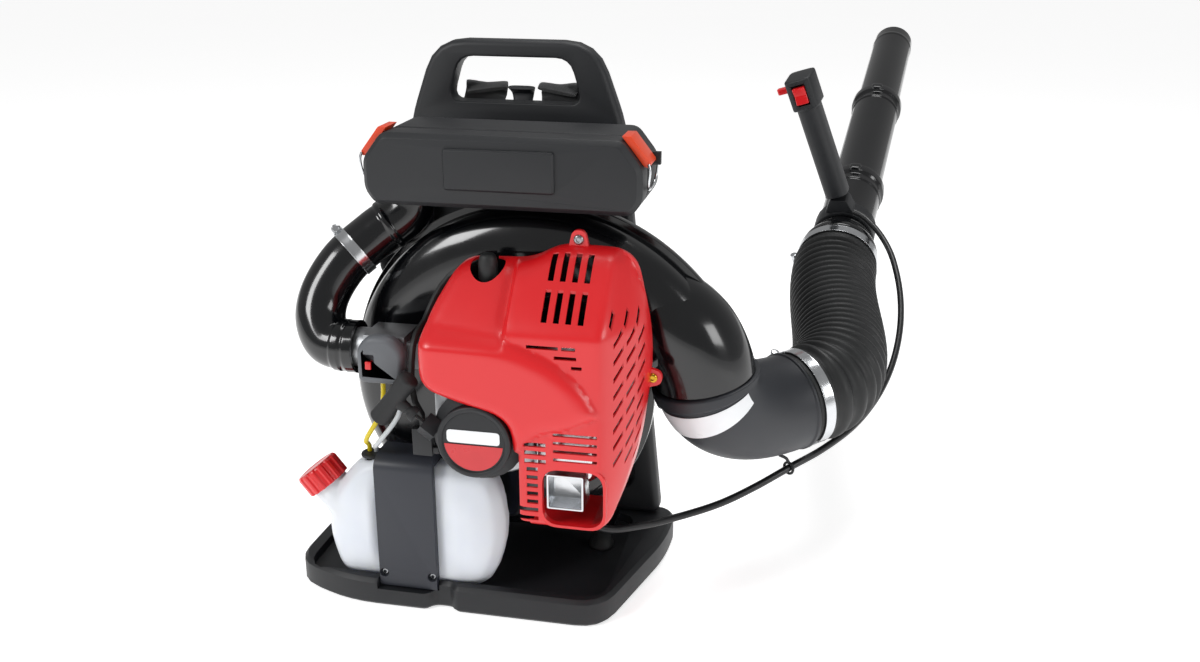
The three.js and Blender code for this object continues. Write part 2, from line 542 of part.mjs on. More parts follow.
const PORT_Z = caseTop + 22;
function cylinder() {
  const { bore } = ENGINE;
  const foot = caseTop + GAP;
  const barrel = bar(bore + 4.5, ENGINE.headTop - foot, cylinderAt(foot), UP, 20);
  const skirt = bar(bore + 3, 14, cylinderAt(foot - 13), UP, 20);
  const half = [ENGINE.finWidth / 2, ENGINE.finDepth / 2];
  const cx = CRANK.x;
  const cy = ENGINE.cylinderY;
  const fins = Array.from({ length: 5 }, (_, i) => {
    const z = foot + 8 + i * 14;
    return slab(rectangle(cx - half[0], cx + half[0], cy - half[1], cy + half[1], 12), z, z + 2.6, 0, 1);
  });
  const intake = box([cx - half[0] - 2, cy - 18, PORT_Z - 14], [cx - bore, cy + 18, PORT_Z + 14]);
  const exhaust = box([cx + bore, cy - 16, PORT_Z - 14], [cx + half[0] + 2, cy + 16, PORT_Z + 14]);
  const inside = bar(bore, crownTop + 1.5 - (foot - 14), cylinderAt(foot - 14), UP, 24);
  const ports = bar(10, ENGINE.finWidth + 20, [cx - half[0] - 10, cy, PORT_Z], [1, 0, 0], 16);
  const plugHole = bar(6.5, 60, cylinderAt(crownTop - 5), UP, 16);
  return cut(join(barrel, skirt, ...fins, intake, exhaust), inside, ports, plugHole);
}
piece("cylinder", cylinder(), FINISH.aluminium);

function piston() {
  const pin = CRANK.z + CRANK.radius + ENGINE.rod;
  const skirt = 16; // below the gudgeon pin
  const body = bar(ENGINE.bore - 0.4, ENGINE.crown + skirt, cylinderAt(pin - skirt), UP, 24);
  const hollow = bar(ENGINE.bore - 5, ENGINE.crown + skirt - 8, cylinderAt(pin - skirt - 2), UP, 20);
  const gudgeon = bar(5, 2 * ENGINE.bore - 6, [CRANK.x, ENGINE.cylinderY - ENGINE.bore + 3, pin], BACK, 16);
  return cut(body, hollow).add(gudgeon);
}
piece("piston", piston(), FINISH.aluminium);

const pinGap = 7; // half the width between the crank webs
function connectingRod() {
  const y = ENGINE.cylinderY;
  const low = CRANK.z + CRANK.radius;
  const pin = low + ENGINE.rod;
  const bigEnd = bar(11, 2 * pinGap - 2 * GAP, [CRANK.x, y - pinGap + GAP, low], BACK, 20);
  const smallEnd = sleeve(9, 5 + GAP, 12, [CRANK.x, y - 6, pin], BACK, 20);
  const shank = box([CRANK.x - 5, y - 3, low + 8], [CRANK.x + 5, y + 3, pin - 7]);
  return join(bigEnd, smallEnd, shank);
}
piece("connecting_rod", connectingRod(), FINISH.steel);

// A crank web with its length of shaft; side is -1 towards the starter and 1 towards the fan.
function crankWeb(side, shaftEnd) {
  const face = ENGINE.cylinderY + side * pinGap;
  const web = panel(outline([[-22, 10], [-13, 25], [13, 25], [22, 10], [CRANK.webRadius, -6], [19, -20],
    [0, -CRANK.webRadius], [-19, -20], [-CRANK.webRadius, -6]], 6), 0, CRANK.webThickness, 0);
  const y0 = side < 0 ? face - CRANK.webThickness : face;
  const shaft = bar(CRANK.shaftRadius, Math.abs(shaftEnd - face) - 2, [CRANK.x, face + side * 2, CRANK.z], [0, side, 0]);
  return solid(geometryOf(web).translate(CRANK.x, y0, CRANK.z)).add(shaft);
}
piece("crank_web_front", crankWeb(-1, STARTER.face + 18), FINISH.steel);
piece("crank_web_rear", crankWeb(1, 20), FINISH.steel);

function flywheel() {
  const y = STARTER.face + 23;
  const disc = turned([[CRANK.shaftRadius + 0.05, 0], [42, 0], [42, 9], [CRANK.shaftRadius + 0.05, 9],
    [CRANK.shaftRadius + 0.05, 0]], [CRANK.x, y, CRANK.z], BACK, 32);
  const vanes = Array.from({ length: 10 }, (_, i) => {
    const geometry = new THREE.BoxGeometry(20, 4, 2).translate(30, y - 1.5, 0).rotateY((i * Math.PI) / 5);
    return solid(geometry.translate(CRANK.x, 0, CRANK.z));
  });
  return join(disc, ...vanes);
}
piece("flywheel", flywheel(), FINISH.aluminium);

const COIL = { x: -16, z: CRANK.z - 16, y: -118 };
piece("ignition_coil", join(
  box([COIL.x - 22, COIL.y - 5, COIL.z - 14], [COIL.x - 2, COIL.y + 5, COIL.z + 14]),
  box([COIL.x - 3, COIL.y - 3, COIL.z - 12], [COIL.x + 4, COIL.y + 3, COIL.z - 5]),
  box([COIL.x - 3, COIL.y - 3, COIL.z + 5], [COIL.x + 4, COIL.y + 3, COIL.z + 12]),
), FINISH.black);

piece("spark_plug", turned([[0, -14], [6, -14], [6, 0], [10, 0], [10, 9], [6, 11], [4.5, 26], [0, 26]],
  cylinderAt(ENGINE.headTop + GAP), UP, 6), FINISH.steel);

function ignitionLead() {
  const z = ENGINE.headTop + GAP;
  const boot = turned([[6.6, 12], [9, 12], [9.5, 34], [7, 40], [0, 40], [0, 28], [5.2, 27.5], [6.6, 12.8], [6.6, 12]],
    cylinderAt(z), UP, 16);
  const behind = COVER.rear + 7;
  const route = [[CRANK.x, ENGINE.cylinderY, z + 33], [CRANK.x - 2, ENGINE.cylinderY + 14, z + 38],
    [CRANK.x - 18, behind, z + 34], [-14, behind, z + 18], [-32, behind - 1, z - 8], [-38, -70, z - 26],
    [-38, -100, z - 33], [-38, -112, z - 50], [-36, COIL.y, COIL.z + 44], [COIL.x - 12, COIL.y, COIL.z + 26],
    [COIL.x - 12, COIL.y, COIL.z + 14 + GAP]];
  return boot.add(tube(new THREE.CatmullRomCurve3(route.map(vector)), 3.5, 0, 18, 6));
}
piece("ignition_lead", ignitionLead(), FINISH.rubber);

function muffler() {
  const x0 = CRANK.x + ENGINE.finWidth / 2 + 2 + GAP;
  const can = panel(rectangle(x0, x0 + 62, PORT_Z - 110, PORT_Z + 26, 12), ENGINE.cylinderY - 36, ENGINE.cylinderY + 12, 4);
  const spout = panel(rectangle(x0 + 18, x0 + 54, PORT_Z - 130, PORT_Z - 94, 2), COVER.front + 12, ENGINE.cylinderY - 30);
  const bore = panel(rectangle(x0 + 20, x0 + 52, PORT_Z - 128, PORT_Z - 96, 1), COVER.front + 11, ENGINE.cylinderY - 34);
  const port = bar(9, 16, [x0 - 4, ENGINE.cylinderY, PORT_Z], [1, 0, 0], 16);
  return cut(join(can, spout), bore, port);
}
piece("muffler", muffler(), FINISH.steel);

// ---------------------------------------------------------------- engine cover
// The cover's front outline, inset by a distance all round.
function coverOutline(inset) {
  const { left, right, bottom, top } = COVER;
  return outline([
    [CRANK.x + STARTER.capRadius + 2 + inset, bottom + inset, 12], [right - 34 - inset, bottom + inset, 14],
    [right - 14 - inset, 190, 30], [right - inset, 296, 30], [right - 22 - inset, top - inset, 26],
    [right - 90, top + 4 - inset, 16], [right - 116, top - 14 - inset, 16], [left + 26 + inset, top - 14 - inset, 16],
    [left + inset, top - 70, 20], [left + inset, 262, 20],
    [CRANK.x - 22, CRANK.z + STARTER.capRadius + 4 + inset, 14],
    [CRANK.x + STARTER.capRadius + 2 + inset, CRANK.z + 26, 18],
  ]);
}

function engineCover() {
  const { front, rear, wall: w, top, right, left, bottom } = COVER;
  const behind = box([left - 40, rear, bottom - 40], [right + 40, rear + 20, top + 60]);
  const shell = panel(coverOutline(0), front, rear + 8, 3.6).subtract(behind);
  const hollow = panel(coverOutline(w), front + w, rear + 1);
  // The top slopes down towards the front.
  const slope = cheek(outline([[front - 20, 328], [front + 6, 328], [rear - 4, top + 20], [front - 20, top + 20]]), -60, 220);
  const slopeInside = cheek(outline([[front - 20, 328 - w], [front + 6, 328 - w], [rear - 4, top + 20 - w],
    [rear + 60, top + 20 - w], [rear + 60, 0], [front - 20, 0]]), -60, 260);
  const inside = hollow.intersect(slopeInside);
  const plugHole = bar(15, 140, cylinderAt(300), UP, 20);
  const plugSlot = box([CRANK.x - 11, ENGINE.cylinderY, 300], [CRANK.x + 11, rear + 1, top + 30]);
  const engineRoom = box([left - 1, STARTER.face, bottom - 1],
    [CRANK.x + CASE.halfWidth + 2, rear + 1, CRANK.z + STARTER.drumRadius - 6]);
  const finRoom = box([CRANK.x - ENGINE.finWidth / 2 - 2, ENGINE.cylinderY - ENGINE.finDepth / 2 - 2, caseTop],
    [CRANK.x + ENGINE.finWidth / 2 + 2, rear + 1, ENGINE.headTop + 2]);
  const intakeRoom = box([left - 1, ENGINE.cylinderY - 22, PORT_Z - 20], [left + w + 3, rear + 1, PORT_Z + 20]);
  const frontTools = [plugSlot, engineRoom, finRoom, intakeRoom];
  const slot = (x0, x1, z0, z1) => frontTools.push(box([x0, front - 2, z0], [x1, front + w + 4, z1]));
  for (let i = 0; i < 4; i++) slot(right - 92, right - 46, 204 + i * 9, 207 + i * 9);
  for (let i = 0; i < 9; i++) slot(right - 118, right - 104 + (i > 5 ? 6 : 0), 140 + i * 9, 144 + i * 9);
  frontTools.push(panel(rectangle(right - 98, right - 40, 134, 192, 14), front - 2, front + w + 4));
  for (let i = 0; i < 9; i++) {
    frontTools.push(box([right - 30, front + 20, 206 + i * 15], [right + 4, front + 66, 210 + i * 15]));
  }
  for (let row = 0; row < 2; row++) {
    for (let i = 0; i < 4; i++) {
      frontTools.push(box([94 + i * 14, front + 24 + row * 28, 300], [99 + i * 14, front + 46 + row * 28, 420]));
    }
  }
  const lug = (x, z) => panel(outline([[x - 12, z - 14], [x + 12, z - 14], [x + 5, z + 10], [x - 5, z + 10]], 5),
    rear - 5, rear - 1, 0).subtract(bar(3.2, 12, [x, rear - 8, z], BACK, 12));
  const ears = [lug(right - 74, top + 8), lug(right - 2, 262)];
  return join(cut(shell, slope, inside, plugHole, ...frontTools), ...ears);
}
piece("engine_cover", engineCover(), FINISH.red);

// ---------------------------------------------------------------- starter
const PULL_WAY = [-0.8, 0, 0.6];
const GUIDE = { x: -40, z: 2 }; // the rope guide's root, from the crank axis
function starterCase() {
  const { x, z } = CRANK;
  const { face, capRadius, drumRadius } = STARTER;
  const drum = turned([[0, 0], [capRadius - 2, 0], [capRadius, 2], [capRadius, 14], [drumRadius - 12, 19],
    [drumRadius - 12, CASE.front - face - 2 * GAP], [0, CASE.front - face - 2 * GAP]], [x, face, z], BACK, 24);
  const inside = turned([[0, 3], [capRadius - 5, 3], [capRadius - 4, 16], [drumRadius - 15, 18],
    [drumRadius - 15, 60], [0, 60]], [x, face, z], BACK, 24);
  const guide = aim(new THREE.BoxGeometry(18, 16, 14).translate(0, 8, 0), [x + GUIDE.x, face + 12, z + GUIDE.z], PULL_WAY);
  const ropeHole = bar(2.6, 60, along([x + GUIDE.x, face + 12, z + GUIDE.z], vector(PULL_WAY), -20), PULL_WAY, 8);
  const coilWindow = box([x - 70, COIL.y - 7, COIL.z - 17], [x - 30, CASE.front + 1, COIL.z + 17]);
  return cut(join(drum, solid(guide)), inside, ropeHole, coilWindow);
}
piece("starter_case", starterCase(), FINISH.black);

const reelRadius = STARTER.reelRadius;
piece("starter_reel", turned([[4.4, 0], [reelRadius + 2, 0], [reelRadius + 2, 1.6], [reelRadius - 3, 2.4],
  [reelRadius - 3, 6], [reelRadius + 2, 6.8], [reelRadius + 2, 8.4], [4.4, 8.4], [4.4, 0]],
[CRANK.x, STARTER.face + 5, CRANK.z], BACK, 24), FINISH.grey);

// ---------------------------------------------------------------- starter grip and rope
const guideMouth = along([CRANK.x + GUIDE.x, STARTER.face + 12, CRANK.z + GUIDE.z], vector(PULL_WAY), 16);
function starterGrip() {
  const stem = bar(7.5, 30, along(guideMouth, vector(PULL_WAY), 10), PULL_WAY, 12);
  const across = [0.6, 0, 0.8];
  const crossbar = bar(9.5, 60, along(along(guideMouth, vector(PULL_WAY), 36), vector(across), -30), across, 12);
  return join(stem, crossbar);
}
piece("starter_grip", starterGrip(), FINISH.black);
piece("starter_rope", bar(2, 10 - 2 * GAP, along(guideMouth, vector(PULL_WAY), GAP), PULL_WAY, 8), FINISH.white);

// ---------------------------------------------------------------- intake side
function carburettor() {
  const x = CRANK.x - ENGINE.finWidth / 2 - 2 - GAP;
  const y = ENGINE.cylinderY;
  const body = box([x - 72, y - 22, PORT_Z - 22], [x - 30, y + 18, PORT_Z + 20]);
  const insulator = box([x - 31, y - 17, PORT_Z - 13], [x, y + 17, PORT_Z + 13]);
  const mouth = bar(20, 16, [x - 86, y - 2, PORT_Z], [1, 0, 0], 24);
  const bore = bar(9, 110, [x - 90, y, PORT_Z], [1, 0, 0], 16);
  const bulbSeat = bar(9.4, 11.5, [x - 50, y - 2, PORT_Z - 23], UP, 16);
  return cut(join(body, insulator, mouth), bore, bulbSeat);
}
piece("carburettor", carburettor(), FINISH.aluminium);
const carbX = CRANK.x - ENGINE.finWidth / 2 - 54;
piece("primer_bulb", turned([[0, -8], [7, -6.5], [9, 0], [9, 4.5], [0, 4.5]],
  [carbX + 2, ENGINE.cylinderY - 2, PORT_Z - 22.5], UP, 16), FINISH.white);

function carbCover() {
  const front = ENGINE.cylinderY - 40;
  const dome = panel(outline([[carbX - 22, PORT_Z - 24], [carbX + 24, PORT_Z - 24], [carbX + 27, PORT_Z + 10],
    [carbX + 14, PORT_Z + 25], [carbX - 10, PORT_Z + 25], [carbX - 22, PORT_Z + 12]], 8), front, front + 17.5, 4);
  const slot = box([carbX - 14, front - 1, PORT_Z - 14], [carbX - 4, front + 5, PORT_Z + 6]);
  return cut(dome, slot);
}
piece("carb_cover", carbCover(), FINISH.grey);
piece("choke_lever", box([carbX - 12, ENGINE.cylinderY - 42, PORT_Z - 8], [carbX - 6, ENGINE.cylinderY - 35.5, PORT_Z]), FINISH.red);

const cleanerLeft = CLEANER.x - CLEANER.width / 2;
const cleanerRight = CLEANER.x + CLEANER.width / 2;
const cleanerTop = CLEANER.bottom + CLEANER.height;
const intakeCurve = new THREE.CatmullRomCurve3([
  [...INTAKE.port, CLEANER.bottom - 1.5], [INTAKE.port[0] - 3, -9, CLEANER.bottom - 18],
  [INTAKE.port[0] - 33, -24, 376], [-131, -44, 350], [-148, -60, 318], [-148, -72, 296], [-136, -81, PORT_Z + 3], [-116, ENGINE.cylinderY - 2, PORT_Z],
  [carbX - 33, ENGINE.cylinderY - 2, PORT_Z]].map(vector), false, "centripetal");
const underCleaner = box([-220, -160, PORT_Z - 60], [0, 60, CLEANER.bottom - GAP]);
const intakeTube = tube(intakeCurve, INTAKE.radius, INTAKE.radius - INTAKE.wall, 10, 12);
piece("intake_pipe", intakeTube.intersect(underCleaner), FINISH.gloss);
const clampWay = intakeCurve.getTangent(0.37);
piece("intake_clamp", hoseClamp(INTAKE.radius, intakeCurve.getPoint(0.35).toArray(), clampWay.toArray()), FINISH.steel);

// ---------------------------------------------------------------- air cleaner
function cleanerOutline(inset) {
  const [l, r, b, t] = [cleanerLeft + inset, cleanerRight - inset, CLEANER.bottom + inset, cleanerTop - inset];
  return outline([[l + 10, b], [r - 10, b], [r, b + 14], [r, t - 26], [r - 20, t], [l + 20, t], [l, t - 26], [l, b + 14]], 7);
}
function cleanerCover() {
  const w = 3;
  const shell = panel(cleanerOutline(0), CLEANER.front, CLEANER.split, 5);
  const hollow = panel(cleanerOutline(w), CLEANER.front + 10, CLEANER.split + 1);
  const raised = panel(rectangle(CLEANER.x - 54, CLEANER.x + 54, CLEANER.bottom + 18, cleanerTop - 12, 4),
    CLEANER.front - 4, CLEANER.front + 4, 2);
  return cut(join(shell, raised), hollow);
}
function cleanerCase() {
  const w = 3;
  const from = CLEANER.split + GAP;
  const shell = panel(cleanerOutline(0), from, CLEANER.rear, 2);
  const hollow = panel(cleanerOutline(w), from - 1, CLEANER.rear - w);
  const port = bar(INTAKE.radius - INTAKE.wall, 20, [...INTAKE.port, CLEANER.bottom - 6], UP, 16);
  const arms = [-1, 1].map((side) => box([CLEANER.x + side * 70 - 9, CLEANER.rear - 2, CLEANER.bottom + 14],
    [CLEANER.x + side * 70 + 9, FRAME.front - GAP, CLEANER.bottom + 50]));
  const ears = [-1, 1].map((side) => {
    const { pivot } = latchPlaces(side);
    const ear = box([pivot.x - 7, CLEANER.split + 12, pivot.z - 6], [pivot.x + 7, CLEANER.split + 18, pivot.z + 6]);
    return ear.subtract(bar(LATCH.pin + GAP, 20, [pivot.x, CLEANER.split + 5, pivot.z], BACK, 12));
  });
  return join(cut(shell, hollow, port), ...arms, ...ears);
}
piece("air_cleaner_cover", cleanerCover(), FINISH.black);
piece("air_cleaner_case", cleanerCase(), FINISH.black);
piece("filter_element", panel(rectangle(cleanerLeft + 14, cleanerRight - 14, CLEANER.bottom + 8, cleanerTop - 12, 10),
  CLEANER.front + 14, CLEANER.split + 20), FINISH.paper);

// An over-centre latch that lies on a top corner's slope; side is -1 on the left and 1 on the right.
function latchPlaces(side) {
  const x = side < 0 ? cleanerLeft : cleanerRight;
  const down = vector([side * 20, 0, -26]).normalize();
  const out = vector([side * 26, 0, 20]).normalize();
  const top = vector([x - side * 20, 0, cleanerTop]);
  const at = (d, o) => top.clone().addScaledVector(down, d).addScaledVector(out, o);
  return { at, pivot: at(LATCH.length, LATCH.thickness / 2 + GAP) };
}
function latch(side) {
  const { at, pivot } = latchPlaces(side);
  const corners = [at(-3, GAP), at(LATCH.length, GAP), at(LATCH.length, LATCH.thickness), at(2, LATCH.thickness)];
  const plate = panel(outline(corners.map((p) => [p.x, p.z])), CLEANER.split - 20, CLEANER.split + 10);
  const pin = bar(LATCH.pin, 40, [pivot.x, CLEANER.split - 20, pivot.z], BACK, 12);
  return plate.add(pin);
}
piece("latch_left", latch(-1), FINISH.orange);
piece("latch_right", latch(1), FINISH.orange);

// ---------------------------------------------------------------- fuel tank
function fuelTank() {
  const { left, right, front, rear, top, wall } = TANK;
  const floor = BASE.floor + GAP;
  const shape = (inset) => outline([
    [left + 14 + inset, floor + inset, 16], [right - 22 - inset, floor + inset, 26], [right - inset, 90, 40],
    [right - 14 - inset, top - 4 - inset, 20], [-60, top - inset, 16], [left + 40, top - inset, 20],
    [left + 6 + inset, top - 46 - inset, 20], [left + inset, 70, 30]]);
  const body = panel(shape(0), front, rear, 10, 3);
  const hollow = panel(shape(wall + 3), front + wall + 5, rear - wall);
  const neck = bar(19, 40, NECK.from, NECK.way, 20);
  const neckBore = bar(15, 60, along(NECK.from, vector(NECK.way).normalize(), -4), NECK.way, 20);
  const grommetHole = bar(7.5, 30, [GROMMET[0], GROMMET[1], top - 16], UP, 12);
  return cut(join(body, neck), hollow, neckBore, grommetHole);
}
const NECK = { from: [TANK.left + 20, -80, 96], way: [-0.62, 0, 0.78] };
const GROMMET = [TANK.left + 52, -80];
const neckWay = vector(NECK.way).normalize();
const neckMouth = along(NECK.from, neckWay, 40);
piece("fuel_tank", fuelTank(), FINISH.white);
piece("cap_gasket", sleeve(19, 12, 2, along(neckMouth, neckWay, GAP), NECK.way, 20), FINISH.rubber);
piece("fuel_cap", turned([[0, 3.3], [19, 2.6], [21, 2.6], [21, -10], [23.5, -10], [23.5, 10], [21, 14], [0, 14], [0, 3.3]],
  neckMouth, NECK.way, 20), FINISH.red);

function tankStrap() {
  const [x0, x1] = [STRAP.left, STRAP.right];
  const front = TANK.front - STRAP.thickness;
  const [inner, foot] = [TANK.front - GAP, BASE.floor + 2 * GAP];
  const band = cheek(outline([[inner, foot], [front, foot], [front, TANK.top + 2, 8], [TANK.front + 5, TANK.top + 9, 5],
    [TANK.rear - 4, TANK.top + 9], [TANK.rear - 4, TANK.top + GAP, 0], [inner, TANK.top + GAP, 0]], 2), x0, x1);
  const recess = [x0 + 5, x1 - 5].map((x) => bar(5, 8, [x, front - 4, 36], BACK, 14));
  return cut(band, ...recess);
}
piece("tank_strap", tankStrap(), FINISH.black);

// A fuel hose from the tank's grommet to the carburettor.
function fuelHose(offset, height) {
  const side = Math.sign(offset);
  const end = [carbX + offset, ENGINE.cylinderY - 12, PORT_Z - 22 - GAP];
  const route = [[GROMMET[0] + side * 3.6, GROMMET[1], TANK.top - 14], [GROMMET[0] + side * 3.6, GROMMET[1], TANK.top + 8],
    [GROMMET[0] + 8 + side * 5, GROMMET[1] - 22, TANK.top + height], [end[0], end[1] - 8, PORT_Z - 60], [end[0], end[1], PORT_Z - 40], end];
  return tube(new THREE.CatmullRomCurve3(route.map(vector), false, "centripetal"), 2.6, 0, 16, 8);
}
piece("fuel_line", fuelHose(-7, 26), FINISH.yellow);
piece("return_line", fuelHose(12, 20), FINISH.grey);

// ---------------------------------------------------------------- throttle cable
const CABLE_ROUTE = [[91, -57, 167.4], [91, -57, 150], [94, -57, 124], [112, -57, 98], [139, -51, 82], [173, -33, 80],
  [206, -14, 83], [250, 10, 92], [284, 34, 103], [318, 62, 116], [352, 96, 126], [384, 138, 139], [408, 186, 156],
  [424, 240, 176], [432, 296, 200], [432, 346, 224], [426, 388, 246], [416, 420, 266], [400, 446, 284],
  [380, 466, 298], [368, 474, 302]];
const cableCurve = new THREE.CatmullRomCurve3(CABLE_ROUTE.map(vector), false, "centripetal");
const CABLE_SPLIT = 0.69;
const cableGap = 0.0003;
piece("throttle_cable_lower", tube(new Stretch(cableCurve, 0, CABLE_SPLIT - cableGap), CABLE_RADIUS, 0, 38, 6), FINISH.rubber);
piece("throttle_cable_upper", tube(new Stretch(cableCurve, CABLE_SPLIT + cableGap, 1), CABLE_RADIUS, 0, 16, 6), FINISH.rubber);

// ---------------------------------------------------------------- back pad and shoulder straps
const padFront = frameBack + GAP;
piece("back_pad", panel(outline([[FRAME.centre - 118, 96], [FRAME.centre + 118, 96], [FRAME.centre + 92, 452],
  [FRAME.centre - 92, 452]], 30), padFront, padFront + 26, 7, 3), FINISH.fabric);
["left", "right"].forEach((name, i) => {
  const side = i ? 1 : -1;
  const x = FRAME.centre + side * 58;
  const y = padFront + 26 + STRAP_THICKNESS / 2;
  piece("shoulder_strap_" + name, ribbon([[x, y + 2, 470], [x + side * 2, y + 28, 452], [x + side * 6, y + 44, 400],
    [x + side * 14, y + 40, 320], [x + side * 26, y + 26, 230], [x + side * 38, y + 12, 150], [x + side * 46, y + 3, 100]],
  56, STRAP_THICKNESS, 12), FINISH.fabric);
});

export default blower;
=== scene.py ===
"""Backpack leaf blower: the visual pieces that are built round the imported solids, in metres."""
import json
import logging
import math
from dataclasses import dataclass
from enum import Enum
from typing import Any, Sequence

import bmesh
import bpy
import numpy as np
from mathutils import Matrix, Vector
from mathutils.geometry import delaunay_2d_cdt


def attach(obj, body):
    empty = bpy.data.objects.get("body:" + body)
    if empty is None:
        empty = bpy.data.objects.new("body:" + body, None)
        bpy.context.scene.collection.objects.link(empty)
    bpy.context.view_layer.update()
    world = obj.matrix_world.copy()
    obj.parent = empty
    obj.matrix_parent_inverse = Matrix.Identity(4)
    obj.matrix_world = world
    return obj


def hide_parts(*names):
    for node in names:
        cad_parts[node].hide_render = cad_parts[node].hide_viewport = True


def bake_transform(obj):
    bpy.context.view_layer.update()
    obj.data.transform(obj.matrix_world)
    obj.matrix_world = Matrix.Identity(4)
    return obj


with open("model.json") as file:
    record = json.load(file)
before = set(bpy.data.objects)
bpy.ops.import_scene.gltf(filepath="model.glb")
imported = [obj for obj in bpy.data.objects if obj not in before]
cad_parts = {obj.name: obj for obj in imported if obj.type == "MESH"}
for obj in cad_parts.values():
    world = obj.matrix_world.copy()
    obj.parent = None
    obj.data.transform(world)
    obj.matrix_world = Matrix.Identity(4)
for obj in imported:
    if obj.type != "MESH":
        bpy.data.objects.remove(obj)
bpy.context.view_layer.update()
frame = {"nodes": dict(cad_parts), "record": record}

LOG = logging.getLogger("leaf_blower")
MM = 0.001
SAME_POINT = 1e-6  # metres: points nearer than this are one
EDGE_ANGLE = 38  # degrees: edges sharper than this are rounded
UP = np.array([0.0, 0.0, 1.0])
BACKWARDS = (0.0, 1.0, 0.0)
FORWARDS = (0.0, -1.0, 0.0)
BODY_OF = {node: body for body, nodes in frame["record"]["behaviour"]["bodies"].items() for node in nodes}
SLOT_OF = {part["node"]: part["material_slot"] for part in frame["record"]["subparts"]}
Array = np.ndarray
Rows = Sequence[Sequence[float]]
Piece = bpy.types.Object
Tree = bpy.types.NodeTree
Socket = bpy.types.NodeSocket


class Body(str, Enum):
    """The rigid bodies that the rebuilt pieces ride on."""

    PACK = "pack"
    TUBE = "tube"
    CAP = "cap"
    PULL = "pull_grip"


def vec(*values: float) -> Array:
    """A point or a direction given in millimetres, as metres."""
    return np.array(values, float) * MM


def unit(way: Sequence[float]) -> Array:
    """A direction at length one."""
    way = np.asarray(way, float)
    return way / np.linalg.norm(way)


# ---------------------------------------------------------------- finishes
def linear(colour: str) -> tuple[float, float, float, float]:
    """Turns an sRGB hex colour into Blender's linear values.

    Args:
        colour: six hex digits.

    Returns:
        Red, green, blue and alpha, linear.
    """
    srgb = np.array([int(colour[i:i + 2], 16) for i in (0, 2, 4)]) / 255
    value = np.where(srgb <= 0.04045, srgb / 12.92, ((srgb + 0.055) / 1.055) ** 2.4)
    return (*value.tolist(), 1.0)


def add_node(tree: Tree, kind: str, inputs: dict[Any, Any] | None = None, **settings: Any) -> bpy.types.Node:
    """Adds one shader node with its settings, values and links.

    Args:
        tree: the material's node tree.
        kind: the node's Blender type name.
        inputs: socket name or number to a value, or to the output socket that feeds it.
        settings: the node's own properties.

    Returns:
        The new node.
    """
    node = tree.nodes.new(kind)
    for name, value in settings.items():
        setattr(node, name, value)
    for name, value in (inputs or {}).items():
        if isinstance(value, Socket):
            tree.links.new(value, node.inputs[name])
        else:
            node.inputs[name].default_value = value
    return node


def noise(tree: Tree, where: Socket, size_mm: float, detail: float, roughness: float = 0.5) -> Socket:
    """A soft noise whose patches are about size_mm across."""
    inputs = {"Vector": where, "Scale": 1 / (size_mm * MM), "Detail": detail, "Roughness": roughness}
    return add_node(tree, "ShaderNodeTexNoise", inputs).outputs["Fac"]


@dataclass(frozen=True)
class Finish:
    """A moulded or painted finish: two close colours in soft patches, over a fine grain."""

    name: str
    colour: str
    second: str
    roughness: float = 0.5
    spread: float = 0.06  # roughness, either side
    patch_mm: float = 60.0
    grain_mm: float = 1.2
    grain_depth_mm: float = 0.02
    metallic: float = 0.0
    ior: float = 1.5
    coat: float = 0.0
    coat_roughness: float = 0.1
    sheen: float = 0.0
    subsurface: float = 0.0
    transmission: float = 0.0

    def pattern(self, tree: Tree, where: Socket) -> Socket:
        """The height that the bump reads: a fine even grain."""
        return noise(tree, where, self.grain_mm, 2.0)

    def build(self) -> bpy.types.Material:
        """Makes the material, or finds it if it has been made.

        Returns:
            The Blender material.
        """
        found = bpy.data.materials.get(self.name)
        if found:
            return found
        material = bpy.data.materials.new(self.name)
        material.use_nodes = True
        tree = material.node_tree
        tree.nodes.clear()
        where = add_node(tree, "ShaderNodeTexCoord").outputs["Object"]
        patches = noise(tree, where, self.patch_mm, 3.0, 0.55)
        colour = add_node(tree, "ShaderNodeMix", {0: patches, 6: linear(self.colour), 7: linear(self.second)},
                          data_type="RGBA").outputs[2]
        rough = add_node(tree, "ShaderNodeMapRange", {
            "Value": patches, "From Min": 0.3, "From Max": 0.7, "To Max": self.roughness + self.spread,
            "To Min": max(self.roughness - self.spread, 0.02)}).outputs[0]
        bump = add_node(tree, "ShaderNodeBump", {"Height": self.pattern(tree, where), "Strength": 1.0,
                                                 "Distance": self.grain_depth_mm * MM}).outputs[0]
        shader = add_node(tree, "ShaderNodeBsdfPrincipled", {
            "Base Color": colour, "Roughness": rough, "Normal": bump, "Metallic": self.metallic,
            "IOR": self.ior, "Coat Weight": self.coat, "Coat Roughness": self.coat_roughness,
            "Sheen Weight": self.sheen, "Subsurface Weight": self.subsurface,
            "Transmission Weight": self.transmission})
        if self.subsurface:
            shader.inputs["Subsurface Radius"].default_value = (0.012, 0.012, 0.014)
            shader.inputs["Subsurface Scale"].default_value = 1.0
        add_node(tree, "ShaderNodeOutputMaterial", {"Surface": shader.outputs[0]})
        return material


@dataclass(frozen=True)
class Brushed(Finish):
    """A rolled or turned metal: long fine streaks one way."""

    stretch: tuple[float, float, float] = (1.0, 1.0, 14.0)

    def pattern(self, tree: Tree, where: Socket) -> Socket:
        """The height of streaks, which are a noise squeezed along one axis."""
        squeezed = add_node(tree, "ShaderNodeMapping", {"Vector": where, "Scale": self.stretch}).outputs[0]
        return noise(tree, squeezed, self.grain_mm, 3.0)


